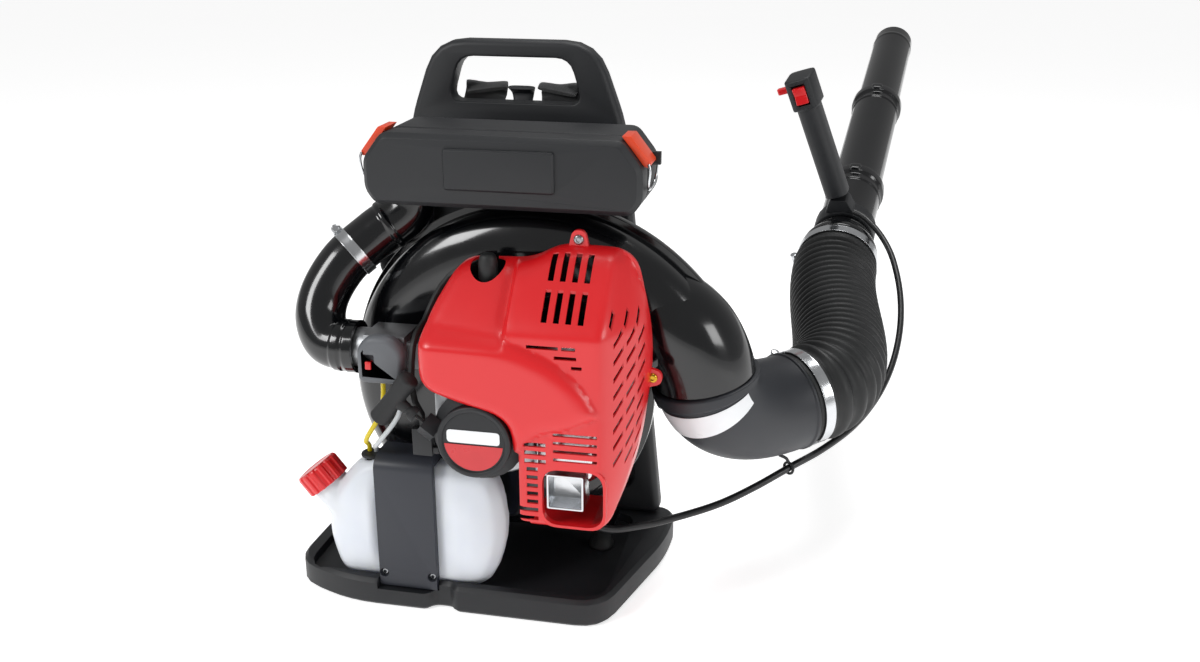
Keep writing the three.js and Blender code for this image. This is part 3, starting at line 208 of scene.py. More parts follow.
@dataclass(frozen=True)
class Woven(Finish):
    """A woven webbing or mesh: threads that cross over and under, across and up the wearer's back."""

    thread_mm: float = 1.6

    def pattern(self, tree: Tree, where: Socket) -> Socket:
        """The height of a plain weave: the product of two waves, one along each thread direction."""
        pitch = math.tau / (self.thread_mm * MM)
        parts = add_node(tree, "ShaderNodeSeparateXYZ", {0: where})
        waves = []
        for axis in (0, 2):
            turns = add_node(tree, "ShaderNodeMath", {0: parts.outputs[axis], 1: pitch}, operation="MULTIPLY")
            waves.append(add_node(tree, "ShaderNodeMath", {0: turns.outputs[0]}, operation="SINE").outputs[0])
        return add_node(tree, "ShaderNodeMath", dict(enumerate(waves)), operation="MULTIPLY").outputs[0]


@dataclass(frozen=True)
class Cellular(Finish):
    """An open-cell foam: small round pits."""

    def pattern(self, tree: Tree, where: Socket) -> Socket:
        """The height of pits, from the distance to scattered points."""
        inputs = {"Vector": where, "Scale": 1 / (self.grain_mm * MM)}
        return add_node(tree, "ShaderNodeTexVoronoi", inputs).outputs[0]


# Polypropylene as moulded with a fine spark-eroded grain: dull, slightly blue-grey black.
MOULDED = Finish("grained_polypropylene", "101215", "16181c", 0.52, 0.05, 70, 1.1, 0.035)
# The same plastic on the elbow, a little lighter and smoother.
ELBOW_GREY = Finish("smooth_grained_polypropylene", "1c1e23", "24272d", 0.46, 0.05, 60, 1.4, 0.02)
# Blow-moulded polyethylene with a polished tool: a deep gloss with a faint ripple.
GLOSS = Finish("polished_black_nylon", "050608", "08090c", 0.17, 0.04, 45, 9.0, 0.02,
               coat=0.3, coat_roughness=0.06)
# Painted ABS: bright red, satin, with a very fine orange peel.
RED = Finish("satin_red_abs", "cf1117", "d6181e", 0.34, 0.04, 80, 1.6, 0.012, coat=0.25, coat_roughness=0.22)
# Neoprene hose rubber: dull black with a dusty bloom.
RUBBER = Finish("neoprene_rubber", "0e0f10", "181a1b", 0.55, 0.08, 24, 0.9, 0.03)
# Soft grip rubber with a fine texture.
GRIP = Finish("soft_grip_rubber", "101113", "17181a", 0.62, 0.06, 30, 0.8, 0.04)
# Die-cast aluminium as cast and shot-blasted: a sparkle of small pits.
CAST = Finish("shot_blasted_cast_aluminium", "9a9c9f", "b1b3b5", 0.42, 0.08, 18, 0.7, 0.05, 1.0)
# Machined steel.
STEEL = Brushed("turned_steel", "8d8f92", "a4a6a8", 0.26, 0.06, 20, 0.5, 0.01, 1.0)
# Zinc-plated spring steel band: bright with rolling streaks.
BAND = Brushed("zinc_plated_band", "c4c6c9", "d6d8da", 0.2, 0.05, 14, 0.5, 0.008, 1.0)
# Translucent high-density polyethylene as blow-moulded: milky, waxy, soft-edged light.
POLYETHYLENE = Finish("milky_polyethylene", "dfe3ea", "d5dae3", 0.38, 0.05, 50, 3.0, 0.03, subsurface=0.55)
# Orange nylon latch.
ORANGE = Finish("orange_nylon", "e0481f", "d93f1a", 0.36, 0.04, 20, 1.0, 0.015)
YELLOW_HOSE = Finish("yellow_fuel_hose", "d8c21e", "c7ae18", 0.3, 0.05, 12, 1.0, 0.01, subsurface=0.2)
CLEAR_HOSE = Finish("clear_vinyl_hose", "c9cdd0", "b7bcc0", 0.22, 0.04, 12, 1.0, 0.01, subsurface=0.3)
BRASS = Brushed("turned_brass", "c9a13a", "b88f2c", 0.24, 0.05, 6, 0.4, 0.01, 1.0)
# Dark slate strap: polypropylene with more blue in it.
SLATE = Finish("slate_polypropylene", "23262d", "2b2e37", 0.48, 0.05, 40, 1.2, 0.03)
GREY = Finish("grey_nylon", "55585c", "63666a", 0.5, 0.05, 25, 0.9, 0.03)
FOAM = Cellular("black_open_cell_foam", "0d0d0e", "161617", 0.9, 0.05, 20, 1.6, 0.5, sheen=0.2)
WEBBING = Woven("polyester_webbing", "0f1012", "191b1e", 0.75, 0.08, 20, sheen=0.35, grain_depth_mm=0.35)
MESH_CLOTH = Woven("spacer_mesh_cloth", "131416", "1e2023", 0.8, 0.06, 30,
                   sheen=0.4, grain_depth_mm=0.6, thread_mm=3.2)
LABEL_WHITE = Finish("white_printed_film", "eceef0", "e2e4e7", 0.3, 0.03, 15, 2.0, 0.004, coat=0.4)
LABEL_RED = Finish("red_printed_film", "c8141d", "bd1019", 0.3, 0.03, 15, 2.0, 0.004, coat=0.4)

SLOT_FINISH = {
    "dark_plastic": MOULDED, "nylon": MOULDED, "gloss_black": GLOSS, "red_cover": RED, "rubber": RUBBER,
    "aluminium": CAST, "steel": BAND, "iron": STEEL, "tank": POLYETHYLENE, "foam": FOAM, "webbing": WEBBING,
    "orange": ORANGE, "yellow_hose": YELLOW_HOSE, "clear_hose": CLEAR_HOSE, "white_rubber": CLEAR_HOSE,
    "grey_plastic": GREY,
}


# ---------------------------------------------------------------- making pieces
def new_piece(name: str, points: Array, faces: Sequence[Sequence[int]], sharp: float = 40.0) -> Piece:
    """Makes a mesh object at the origin, smooth except over sharp edges.

    Args:
        name: the piece's name.
        points: vertex positions in metres, one row each.
        faces: vertex numbers of each face.
        sharp: edges that turn by more than this many degrees stay crisp.

    Returns:
        The new object.
    """
    mesh = bpy.data.meshes.new(name)
    rows = faces.tolist() if isinstance(faces, np.ndarray) else faces
    mesh.from_pydata(np.asarray(points).tolist(), [], rows)
    mesh.validate()
    piece = bpy.data.objects.new(name, mesh)
    bpy.context.scene.collection.objects.link(piece)
    tidy(piece, sharp)
    return piece


def tidy(piece: Piece, sharp: float) -> None:
    """Merges doubles, turns the faces outwards and smooths the shading up to an angle."""
    work = bmesh.new()
    work.from_mesh(piece.data)
    bmesh.ops.remove_doubles(work, verts=work.verts, dist=SAME_POINT)
    bmesh.ops.dissolve_degenerate(work, edges=work.edges, dist=SAME_POINT)
    bmesh.ops.recalc_face_normals(work, faces=work.faces)
    work.to_mesh(piece.data)
    work.free()
    smooth(piece, sharp)


def smooth(piece: Piece, sharp: float) -> None:
    """Shades a mesh smooth, with edges sharper than an angle in degrees left crisp."""
    piece.data.polygons.foreach_set("use_smooth", np.ones(len(piece.data.polygons), bool))
    piece.data.set_sharp_from_angle(angle=math.radians(sharp))
    piece.data.update()


def apply_modifiers(piece: Piece) -> None:
    """Bakes a piece's modifiers into its mesh."""
    evaluated = piece.evaluated_get(bpy.context.evaluated_depsgraph_get())
    mesh = bpy.data.meshes.new_from_object(evaluated)
    piece.modifiers.clear()
    old, piece.data = piece.data, mesh
    mesh.name = piece.name
    bpy.data.meshes.remove(old)


def coords(piece: Piece) -> Array:
    """A mesh's vertex positions in metres, one row each."""
    flat = np.empty(len(piece.data.vertices) * 3)
    piece.data.vertices.foreach_get("co", flat)
    return flat.reshape(-1, 3)


def set_coords(piece: Piece, points: Array) -> None:
    """Moves a mesh's vertices to new positions in metres."""
    piece.data.vertices.foreach_set("co", np.ascontiguousarray(points).ravel())
    piece.data.update()


def dress(piece: Piece, finish: Finish, body: str, *replaces: str, slot: str | None = None) -> Piece:
    """Gives a piece its finish and body.

    Args:
        piece: the finished object.
        finish: what it is made of.
        body: the body that it rides on.
        replaces: the nodes that it stands for.
        slot: not used.

    Returns:
        The same object.
    """
    piece.data.materials.clear()
    piece.data.materials.append(finish.build())
    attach(piece, str(getattr(body, "value", body)))
    if replaces:
        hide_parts(*replaces)
    return piece


def grid_faces(rows: int, columns: int, wrap_rows: bool = False, wrap_columns: bool = True) -> Array:
    """Quads over a grid of points, joined end to end where asked."""
    r = np.arange(rows if wrap_rows else rows - 1)[:, None]
    c = np.arange(columns if wrap_columns else columns - 1)[None, :]
    r1, c1 = (r + 1) % rows, (c + 1) % columns
    here, there = r * columns, r1 * columns
    return np.stack([here + c, here + c1, there + c1, there + c], -1).reshape(-1, 4)


def frames_along(path: Array) -> tuple[Array, Array, Array]:
    """Tangents and two normals at each point of a path, turned as little as possible from one to the next."""
    tangent = np.gradient(path, axis=0)
    tangent /= np.linalg.norm(tangent, axis=1, keepdims=True)
    first = np.cross(tangent[0], [0.31, -0.2, 0.93])
    normals = [first / np.linalg.norm(first)]
    for way in tangent[1:]:
        turned_on = normals[-1] - way * np.dot(normals[-1], way)
        normals.append(turned_on / np.linalg.norm(turned_on))
    normal = np.array(normals)
    return tangent, normal, np.cross(tangent, normal)


def circle(sides: int) -> Array:
    """Even angles once round, in radians."""
    return np.linspace(0, math.tau, sides, endpoint=False)


def ring_ways(angle: Array, n: Array, b: Array) -> Array:
    """Directions round each point of a path, cos a n + sin a b, from its two normals."""
    return np.cos(angle)[None, :, None] * n[:, None] + np.sin(angle)[None, :, None] * b[:, None]


def distances(path: Array) -> Array:
    """How far along a path each of its points lies."""
    return np.r_[0, np.cumsum(np.linalg.norm(np.diff(path, axis=0), axis=1))]


def squared_off(wave: Array, power: float) -> Array:
    """A sine or cosine bent towards a square wave, which makes a superellipse of a circle."""
    return np.sign(wave) * np.abs(wave) ** power


def swept(name: str, path: Array, outer: Array, inner: Array | None = None, sides: int = 48,
          sharp: float = 40.0) -> Piece:
    """A round tube along a path: each ring is path + radius (cos a n + sin a b).

    Args:
        name: the piece's name.
        path: centre points in metres.
        outer: the outside radius at each point.
        inner: the inside radius at each point, or None for a solid cord.
        sides: points round each ring.
        sharp: the crispness angle in degrees.

    Returns:
        The tube, closed at both ends.
    """
    _, n, b = frames_along(path)
    ring = ring_ways(circle(sides), n, b)
    skin = path[:, None] + ring * np.asarray(outer)[:, None, None]
    if inner is not None:
        lining = (path[:, None] + ring * np.asarray(inner)[:, None, None])[::-1]
        points = np.concatenate([skin, lining])
        return new_piece(name, points.reshape(-1, 3), grid_faces(len(points), sides, wrap_rows=True), sharp)
    points = np.concatenate([path[:1, None].repeat(sides, 1), skin, path[-1:, None].repeat(sides, 1)])
    return new_piece(name, points.reshape(-1, 3), grid_faces(len(points), sides), sharp)


def turned(name: str, profile: Rows, start: Array, way: Sequence[float], sides: int = 72,
           ribs: int = 0, rib_depth: float = 0.0, sharp: float = 35.0) -> Piece:
    """A lathe shape: each profile point (radius, distance), in millimetres, goes round an axis.

    Args:
        name: the piece's name.
        profile: closed on itself, or starting and ending on the axis.
        start: the axis's start in metres.
        way: the axis's direction.
        sides: points round.
        ribs: how many ribs run along the outside, where any do.
        rib_depth: their depth in millimetres.
        sharp: the crispness angle in degrees.

    Returns:
        The turned piece.
    """
    shape = np.asarray(profile, float) * MM
    axis = unit(way)
    side = unit(np.cross(axis, [0.2, 0.9, 0.4] if abs(axis[1]) < 0.8 else [0.9, 0.1, 0.3]))
    other = np.cross(axis, side)
    angle = circle(sides)
    round_way = np.cos(angle)[:, None] * side + np.sin(angle)[:, None] * other
    radius = shape[:, 0][:, None] * np.ones(sides)
    if ribs:
        widest = shape[:, 0] > shape[:, 0].max() - 2.5 * MM
        radius -= widest[:, None] * rib_depth * MM * (0.5 - 0.5 * np.clip(2.2 * np.cos(ribs * angle), -1, 1))
    points = np.asarray(start) + shape[:, 1][:, None, None] * axis + radius[..., None] * round_way
    closed = bool(np.allclose(shape[0], shape[-1]))
    if closed:
        points = points[:-1]
    return new_piece(name, points.reshape(-1, 3), grid_faces(len(points), sides, wrap_rows=closed), sharp)


def rounded(profile: Rows, radius: float, steps: int = 3) -> list[list[float]]:
    """A profile whose inner corners are short quadratic curves that start radius millimetres away."""
    points = np.asarray(profile, float)
    made = [points[0].tolist()]
    for before, here, after in zip(points[:-2], points[1:-1], points[2:]):
        back, on = before - here, after - here
        reach = min(radius, np.linalg.norm(back) / 2.1, np.linalg.norm(on) / 2.1)
        start, end = here + unit(back) * reach, here + unit(on) * reach
        t = np.linspace(0, 1, steps + 1)[:, None]
        made += ((1 - t) ** 2 * start + 2 * t * (1 - t) * here + t ** 2 * end).tolist()
    return made + [points[-1].tolist()]


def bezier(a: Array, b: Array, c: Array, d: Array, count: int) -> Array:
    """Points on a cubic Bezier curve, in even steps of its parameter."""
    t = np.linspace(0, 1, count)[:, None]
    return (1 - t) ** 3 * a + 3 * t * (1 - t) ** 2 * b + 3 * t ** 2 * (1 - t) * c + t ** 3 * d


def evenly(path: Array, count: int) -> Array:
    """A path with its points moved to even steps of length."""
    steps = distances(path)
    wanted = np.linspace(0, steps[-1], count)
    return np.stack([np.interp(wanted, steps, path[:, i]) for i in range(3)], 1)


def catmull(points: Array, per_span: int = 12) -> Array:
    """Points on a centripetal Catmull-Rom curve through the given ones."""
    ends = np.vstack([2 * points[0] - points[1], points, 2 * points[-1] - points[-2]])
    made = []
    for p0, p1, p2, p3 in zip(ends, ends[1:], ends[2:], ends[3:]):
        t0 = 0.0
        t1 = t0 + np.linalg.norm(p1 - p0) ** 0.5
        t2 = t1 + np.linalg.norm(p2 - p1) ** 0.5
        t3 = t2 + np.linalg.norm(p3 - p2) ** 0.5
        t = np.linspace(t1, t2, per_span, endpoint=False)[:, None]
        a1 = (t1 - t) / (t1 - t0) * p0 + (t - t0) / (t1 - t0) * p1
        a2 = (t2 - t) / (t2 - t1) * p1 + (t - t1) / (t2 - t1) * p2
        a3 = (t3 - t) / (t3 - t2) * p2 + (t - t2) / (t3 - t2) * p3
        b1 = (t2 - t) / (t2 - t0) * a1 + (t - t0) / (t2 - t0) * a2
        b2 = (t3 - t) / (t3 - t1) * a2 + (t - t1) / (t3 - t1) * a3
        made.append((t2 - t) / (t2 - t1) * b1 + (t - t1) / (t2 - t1) * b2)
    return np.vstack([*made, points[-1:]])


def copy_of(node: str, name: str) -> Piece:
    """A copy of a node's mesh, with its loose triangles merged and its flat faces joined."""
    piece = bpy.data.objects.new(name, frame["nodes"][node].data.copy())
    bpy.context.scene.collection.objects.link(piece)
    work = bmesh.new()
    work.from_mesh(piece.data)
    bmesh.ops.remove_doubles(work, verts=work.verts, dist=2e-5)
    bmesh.ops.dissolve_limit(work, angle_limit=math.radians(1.5), verts=work.verts, edges=work.edges)
    work.to_mesh(piece.data)
    work.free()
    return piece


def eased(node: str, width_mm: float = 0.9, finish: Finish | None = None) -> Piece:
    """A node with its hard edges rounded as a mould or a cutter leaves them.

    Args:
        node: the node to copy and replace.
        width_mm: how far each edge is rounded.
        finish: its finish; by default its slot's.

    Returns:
        The new piece.
    """
    piece = copy_of(node, node + "_eased")
    bevel = piece.modifiers.new("edges", "BEVEL")
    bevel.width, bevel.segments, bevel.limit_method = width_mm * MM, 3, "ANGLE"
    bevel.angle_limit = math.radians(EDGE_ANGLE)
    bevel.use_clamp_overlap = True
    apply_modifiers(piece)
    smooth(piece, 32)
    return dress(piece, finish or SLOT_FINISH[SLOT_OF[node]], BODY_OF[node], node)


def softened(node: str, voxel_mm: float, passes: int, finish: Finish) -> Piece:
    """A node as a blown shape: remeshed on small cubes and smoothed, so every edge is round.

    Args:
        node: the node to copy and replace.
        voxel_mm: the cube size.
        passes: how many times each point moves towards its neighbours' middle.
        finish: its finish.

    Returns:
        The new piece.
    """
    piece = copy_of(node, node + "_moulded")
    remesh = piece.modifiers.new("cubes", "REMESH")
    remesh.mode, remesh.voxel_size = "VOXEL", voxel_mm * MM
    relax = piece.modifiers.new("relax", "SMOOTH")
    relax.factor, relax.iterations = 0.5, passes
    apply_modifiers(piece)
    smooth(piece, 60)
    return dress(piece, finish, BODY_OF[node], node)


# ---------------------------------------------------------------- the room
@dataclass
class Studio:
    """A pale sweep of floor, three soft panels of light and the camera."""

    camera_at: tuple[float, float, float] = (0.3688, -1.156, 0.6984)
    camera_turn: tuple[float, float, float] = (70.5, 0.0, 12.0)  # degrees
    lens: float = 36.9
    floor_size: float = 80.0
    floor_glow: float = 0.62  # keeps the paper white while the room stays dim
    room: float = 0.34

    def set_camera(self) -> None:
        """Stands the camera where the object is seen from the front, a little above and to the right."""
        data = bpy.data.cameras.new("camera")
        data.lens, data.sensor_width, data.clip_start = self.lens, 36.0, 0.02
        camera = bpy.data.objects.new("camera", data)
        camera.location = self.camera_at
        camera.rotation_euler = [math.radians(a) for a in self.camera_turn]
        bpy.context.scene.collection.objects.link(camera)
        bpy.context.scene.camera = camera

    def lay_floor(self) -> None:
        """Lays one flat pale sheet that fades into the world's own white."""
        half = self.floor_size / 2
        corners = [[-half, -half, 0], [half, -half, 0], [half, half, 0], [-half, half, 0]]
        floor = new_piece("floor", np.array(corners), [[0, 1, 2, 3]])
        paper = Finish("matt_paper", "fafafa", "f7f7f7", 0.9, 0.02, 900, 3.0, 0.01).build()
        shader = next(n for n in paper.node_tree.nodes if n.type == "BSDF_PRINCIPLED")
        shader.inputs["Emission Color"].default_value = (1, 1, 1, 1)
        shader.inputs["Emission Strength"].default_value = self.floor_glow
        floor.data.materials.append(paper)

    def panel(self, name: str, at: Sequence[float], aim: Sequence[float], size: float, power: float) -> None:
        """Hangs one soft square light that faces a point."""
        data = bpy.data.lights.new(name, "AREA")
        data.size, data.energy = size, power
        light = bpy.data.objects.new(name, data)
        light.location = at
        light.rotation_euler = (Vector(aim) - Vector(at)).to_track_quat("-Z", "Y").to_euler()
        bpy.context.scene.collection.objects.link(light)

    def light(self) -> None:
        """Lights the room: a key from the upper left, a fill on the right, a top panel and a white world."""
        middle = (0.1, 0.0, 0.25)
        self.panel("key", (-1.5, -1.5, 1.7), middle, 0.9, 30)
        self.panel("fill", (2.2, -0.9, 1.1), middle, 0.8, 13)
        self.panel("top", (0.3, 0.5, 2.3), middle, 1.1, 22)
        world = bpy.data.worlds.new("white_room")
        world.use_nodes = True
        world.node_tree.nodes.clear()
        seen = add_node(world.node_tree, "ShaderNodeLightPath").outputs["Is Camera Ray"]
        ways = {"Value": seen, "To Min": self.room, "To Max": 1.0}
        strength = add_node(world.node_tree, "ShaderNodeMapRange", ways).outputs[0]
        white = {"Color": (1, 1, 1, 1), "Strength": strength}
        glow = add_node(world.node_tree, "ShaderNodeBackground", white)
        add_node(world.node_tree, "ShaderNodeOutputWorld", {"Surface": glow.outputs[0]})
        bpy.context.scene.world = world
        bpy.context.scene.view_settings.view_transform = "Standard"


# ---------------------------------------------------------------- the throttle cable
@dataclass
class ThrottleCable:
    """The sheathed cable from the engine to the handle, which a clip holds under the elbow."""

    radius_mm: float = 4.0
    skin: float = 0.97  # of the radius, which keeps the round sheath inside its solid
    split: float = 0.69  # share of the length that lies before the hose's middle
    bend_from: float = 0.62  # share of the lower length that stays with the pack
    bend_to: float = 0.75  # share of the upper length that still bends
    count: int = 300
    route_mm: tuple[tuple[float, float, float], ...] = (
        (91, -57, 167.4), (91, -57, 150), (94, -57, 124), (112, -57, 98), (139, -51, 82), (173, -33, 80),
        (206, -14, 83), (250, 10, 92), (284, 34, 103), (318, 62, 116), (352, 96, 126), (384, 138, 139),
        (408, 186, 156), (424, 240, 176), (432, 296, 200), (432, 346, 224), (426, 388, 246), (416, 420, 266),
        (400, 446, 284), (380, 466, 298), (368, 474, 302))

    def build(self) -> None:
        """Makes the cable in two lengths, one over each of the hose's joints."""
        path = evenly(catmull(np.array(self.route_mm) * MM, 14), self.count)
        cut = int(len(path) * self.split)
        lower, upper = path[:cut + 1], path[cut:]
        sheath = Finish("extruded_vinyl_sheath", "101113", "17181a", 0.34, 0.05, 15, 1.5, 0.02)
        for name, node, line, body in (("cable_lower", "throttle_cable_lower", lower, Body.PACK),
                                       ("cable_upper", "throttle_cable_upper", upper, Body.TUBE)):
            piece = swept(name, line, np.full(len(line), self.radius_mm * MM * self.skin), sides=20)
            piece.data.materials.append(sheath.build())
            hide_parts(node)
            if body is Body.PACK:
                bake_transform(piece)
            else:
                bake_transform(piece)


# ---------------------------------------------------------------- air side: scroll, elbow, hose and pipes
DUCT_TOP = vec(232, 0, 240)
DUCT_WAY = unit([0.2, 0.1, -0.97])
ELBOW_END = vec(316, 84, 186)
ELBOW_WAY = unit([0.75, 0.65, 0.12])
PIPE_START = vec(351, 455, 246)
PIPE_AXES = np.array([[0.99452, -0.10453, 0.0], [0.09822, 0.93454, 0.34202], [-0.03575, -0.34015, 0.93969]])
PIPE_WAY = PIPE_AXES[1]


def blow(a: float, b: float, x: Array) -> Array:
    """A soft step: 0 before a, 1 after b, with no corner at either."""
    t = np.clip((x - a) / (b - a), 0, 1)
    return t * t * (3 - 2 * t)


def carve(piece: Piece, tool: Piece, how: str = "DIFFERENCE") -> None:
    """Cuts one closed solid by another, or joins or crosses them, and removes the tool."""
    change = piece.modifiers.new("carve", "BOOLEAN")
    change.operation, change.solver, change.object = how, "MANIFOLD", tool
    apply_modifiers(piece)
    bpy.data.objects.remove(tool)


def block(name: str, lows: Sequence[float], highs: Sequence[float]) -> Piece:
    """A plain box between two corners in millimetres."""
    (x0, y0, z0), (x1, y1, z1) = lows, highs
    points = np.array([[x, y, z] for z in (z0, z1) for y in (y0, y1) for x in (x0, x1)], float)
    faces = [[0, 2, 3, 1], [4, 5, 7, 6], [0, 1, 5, 4], [2, 6, 7, 3], [0, 4, 6, 2], [1, 3, 7, 5]]
    return new_piece(name, points * MM, faces)


def prism(name: str, loop: Array, front: float, rear: float) -> Piece:
    """A closed (x, z) outline pushed out from one y to another, in millimetres."""
    count = len(loop)
    points = np.vstack([np.stack([loop[:, 0], np.full(count, y), loop[:, 1]], 1) for y in (front, rear)])
    faces = grid_faces(2, count).tolist() + [list(range(count)), list(range(count, 2 * count))]
    return new_piece(name, points * MM, faces)


def merged(name: str, pieces: Sequence[Piece]) -> Piece:
    """Joins several meshes that don't touch into one object."""
    points, faces, count = [], [], 0
    for piece in pieces:
        points.append(coords(piece))
        faces += [[v + count for v in face.vertices] for face in piece.data.polygons]
        count += len(piece.data.vertices)
        bpy.data.objects.remove(piece)
    return new_piece(name, np.concatenate(points), faces)


@dataclass
class Bellows:
    """The ribbed rubber hose, in two halves that meet at its middle."""

    radius_mm: float = 51.0
    rib_mm: float = 2.6
    inner_mm: float = 46.4
    cuff_mm: float = 24.0
    straight_mm: float = 25.0
    leave_mm: float = 105.0  # how far the curve's first handle reaches from the elbow
    arrive_mm: float = 135.0  # and the second one from the pipe
    gap_mm: float = 0.3
    ribs: int = 24
    rows_per_rib: int = 10

    def path(self) -> Array:
        """A straight cuff, a cubic curve and a straight cuff."""
        a, b = (ELBOW_END + ELBOW_WAY * reach * MM for reach in (self.gap_mm, self.straight_mm))
        c, d = (PIPE_START - PIPE_WAY * reach * MM for reach in (self.straight_mm, self.gap_mm))
        leave = ELBOW_END + ELBOW_WAY * self.leave_mm * MM
        arrive = PIPE_START - PIPE_WAY * self.arrive_mm * MM
        return np.vstack([a, bezier(b, leave, arrive, c, 200), d])

    def build(self) -> None:
        """Makes both halves: a plain cuff at each end and a row of round-topped ribs between."""
        rows = self.ribs * self.rows_per_rib + 60
        path = evenly(self.path(), rows + 1)
        length = distances(path)[-1] / MM
        s = np.linspace(0, length, rows + 1)
        inside = (s > self.cuff_mm) & (s < length - self.cuff_mm)
        phase = (s - self.cuff_mm) / (length - 2 * self.cuff_mm) * self.ribs * math.tau
        wave = np.clip(1.35 * np.cos(phase + math.pi), -1, 1)
        radius = np.where(inside, self.radius_mm + 0.6 + self.rib_mm * wave, self.radius_mm - 0.4) * MM
        radius[[0, -1]] -= 1.2 * MM
        half = rows // 2
        inner = np.full(rows + 1, self.inner_mm * MM)
        middle = path[half]
        lower = ("hose_bellows_lower", "hose_lower", slice(0, half + 1), path[14], middle, ("pack", "hose"))
        upper = ("hose_bellows_upper", "hose_upper", slice(half, None), middle, path[-15], ("hose", "tube"))
        for name, node, part, start, end, bodies in (lower, upper):
            piece = swept(name, path[part], radius[part], inner[part], sides=96, sharp=55)
            piece.data.materials.append(RUBBER.build())
            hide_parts(node)
            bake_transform(piece)
        LOG.info("bellows: %d ribs", self.ribs)


@dataclass
class WormClamp:
    """A slotted steel band with its screw housing and hexagon screw."""

    name: str
    node: str
    radius_mm: float
    start: Array
    way: Array
    body: str
    housing_turn: float = 0.0  # degrees round the band
    width_mm: float = 12.5

    def build(self) -> None:
        """Makes the band by turning its section, with rolled edges, and sets the screw's housing on it."""
        r, w = self.radius_mm, self.width_mm
        section = [[r + 0.3, 0], [r + 1.7, 0], [r + 1.5, 1.4], [r + 1.5, w - 1.4], [r + 1.7, w], [r + 0.3, w],
                   [r + 0.3, 0]]
        band = turned(self.name + "_band", rounded(section, 0.4), self.start, self.way, 96)
        side = unit(np.cross(self.way, [0.3, 0.1, 0.9]))
        other = np.cross(self.way, side)
        angle = math.radians(self.housing_turn)
        out = math.cos(angle) * side + math.sin(angle) * other
        along_band = np.cross(self.way, out)
        middle = self.start + self.way * w / 2 * MM + out * (r + 4.2) * MM
        shank = [[0, -8], [3.6, -8], [3.6, 7], [2.6, 7], [2.6, 9], [5.0, 9], [5.0, 14], [3.4, 15], [0, 15]]
        screw = turned(self.name + "_screw", rounded(shank, 0.5), middle, along_band, 24)
        barrel = [[0, -6.5], [4.6, -6.5], [5.2, -5], [5.2, 4.5], [4.6, 6], [0, 6]]
        shoe = turned(self.name + "_shoe", rounded(barrel, 0.8), middle - out * 1.2 * MM, along_band, 24)
        dress(merged(self.name, [band, screw, shoe]), BAND, self.body, self.node)


@dataclass
class Elbow:
    """The moulded bend from the fan case to the hose."""

    radius_mm: float = 52.0
    wall_mm: float = 3.5
    lip_mm: float = 4.0
    spigot_mm: float = 45.5
    spigot_length_mm: float = 22.0

    def build(self) -> None:
        """Sweeps the bend: a rolled lip, the bend, a stop ring and the spigot inside the hose."""
        bend = bezier(DUCT_TOP + DUCT_WAY * 0.4 * MM, DUCT_TOP + DUCT_WAY * 46 * MM,
                      ELBOW_END - ELBOW_WAY * 52 * MM, ELBOW_END, 240)
        path = evenly(np.vstack([bend, ELBOW_END + ELBOW_WAY * self.spigot_length_mm * MM]), 280)
        length = distances(path)[-1] / MM
        s = np.linspace(0, length, len(path))
        end = length - self.spigot_length_mm
        lip = self.lip_mm * (blow(-1.5, 1.2, s) - blow(7, 9.5, s))
        swell = 0.8 * np.sin(np.clip(s / end, 0, 1) * math.pi)
        stop = 1.6 * (blow(end - 7, end - 5, s) - blow(end - 2, end - 0.5, s))
        outer = np.where(s > end, self.spigot_mm, self.radius_mm + lip + swell + stop)
        inner = np.minimum(self.radius_mm - self.wall_mm, outer - 3)
        bend = swept("outlet_bend", path, outer * MM, inner * MM, sides=120, sharp=42)
        dress(bend, ELBOW_GREY, Body.PACK, "outlet_elbow")
        self.label(path, s)

    def label(self, path: Array, s: Array) -> None:
        """Wraps the plain white band round the front of the bend, below its lip."""
        _, n, b = frames_along(path)
        rows = np.flatnonzero((s > 11) & (s < 27))
        rows = rows[:: max(1, len(rows) // 14)]
        facing = unit([-0.25, -0.93, 0.25])
        middle = math.atan2(float(facing @ b[rows[0]]), float(facing @ n[rows[0]]))
        angle = middle + np.linspace(-1.15, 1.15, 64)
        skin = path[rows][:, None] + ring_ways(angle, n[rows], b[rows]) * (self.radius_mm + 0.9) * MM
        faces = grid_faces(len(rows), len(angle), wrap_columns=False)
        band = new_piece("plain_label_band", skin.reshape(-1, 3), faces)
        self.thicken(band, 0.25)
        dress(band, LABEL_WHITE, Body.PACK)

    def thicken(self, film: Piece, mm: float) -> None:
        """Gives a film its thickness, inwards and outwards."""
        solid = film.modifiers.new("film", "SOLIDIFY")
        solid.thickness, solid.offset = mm * MM, 0.0
        apply_modifiers(film)
        smooth(film, 50)


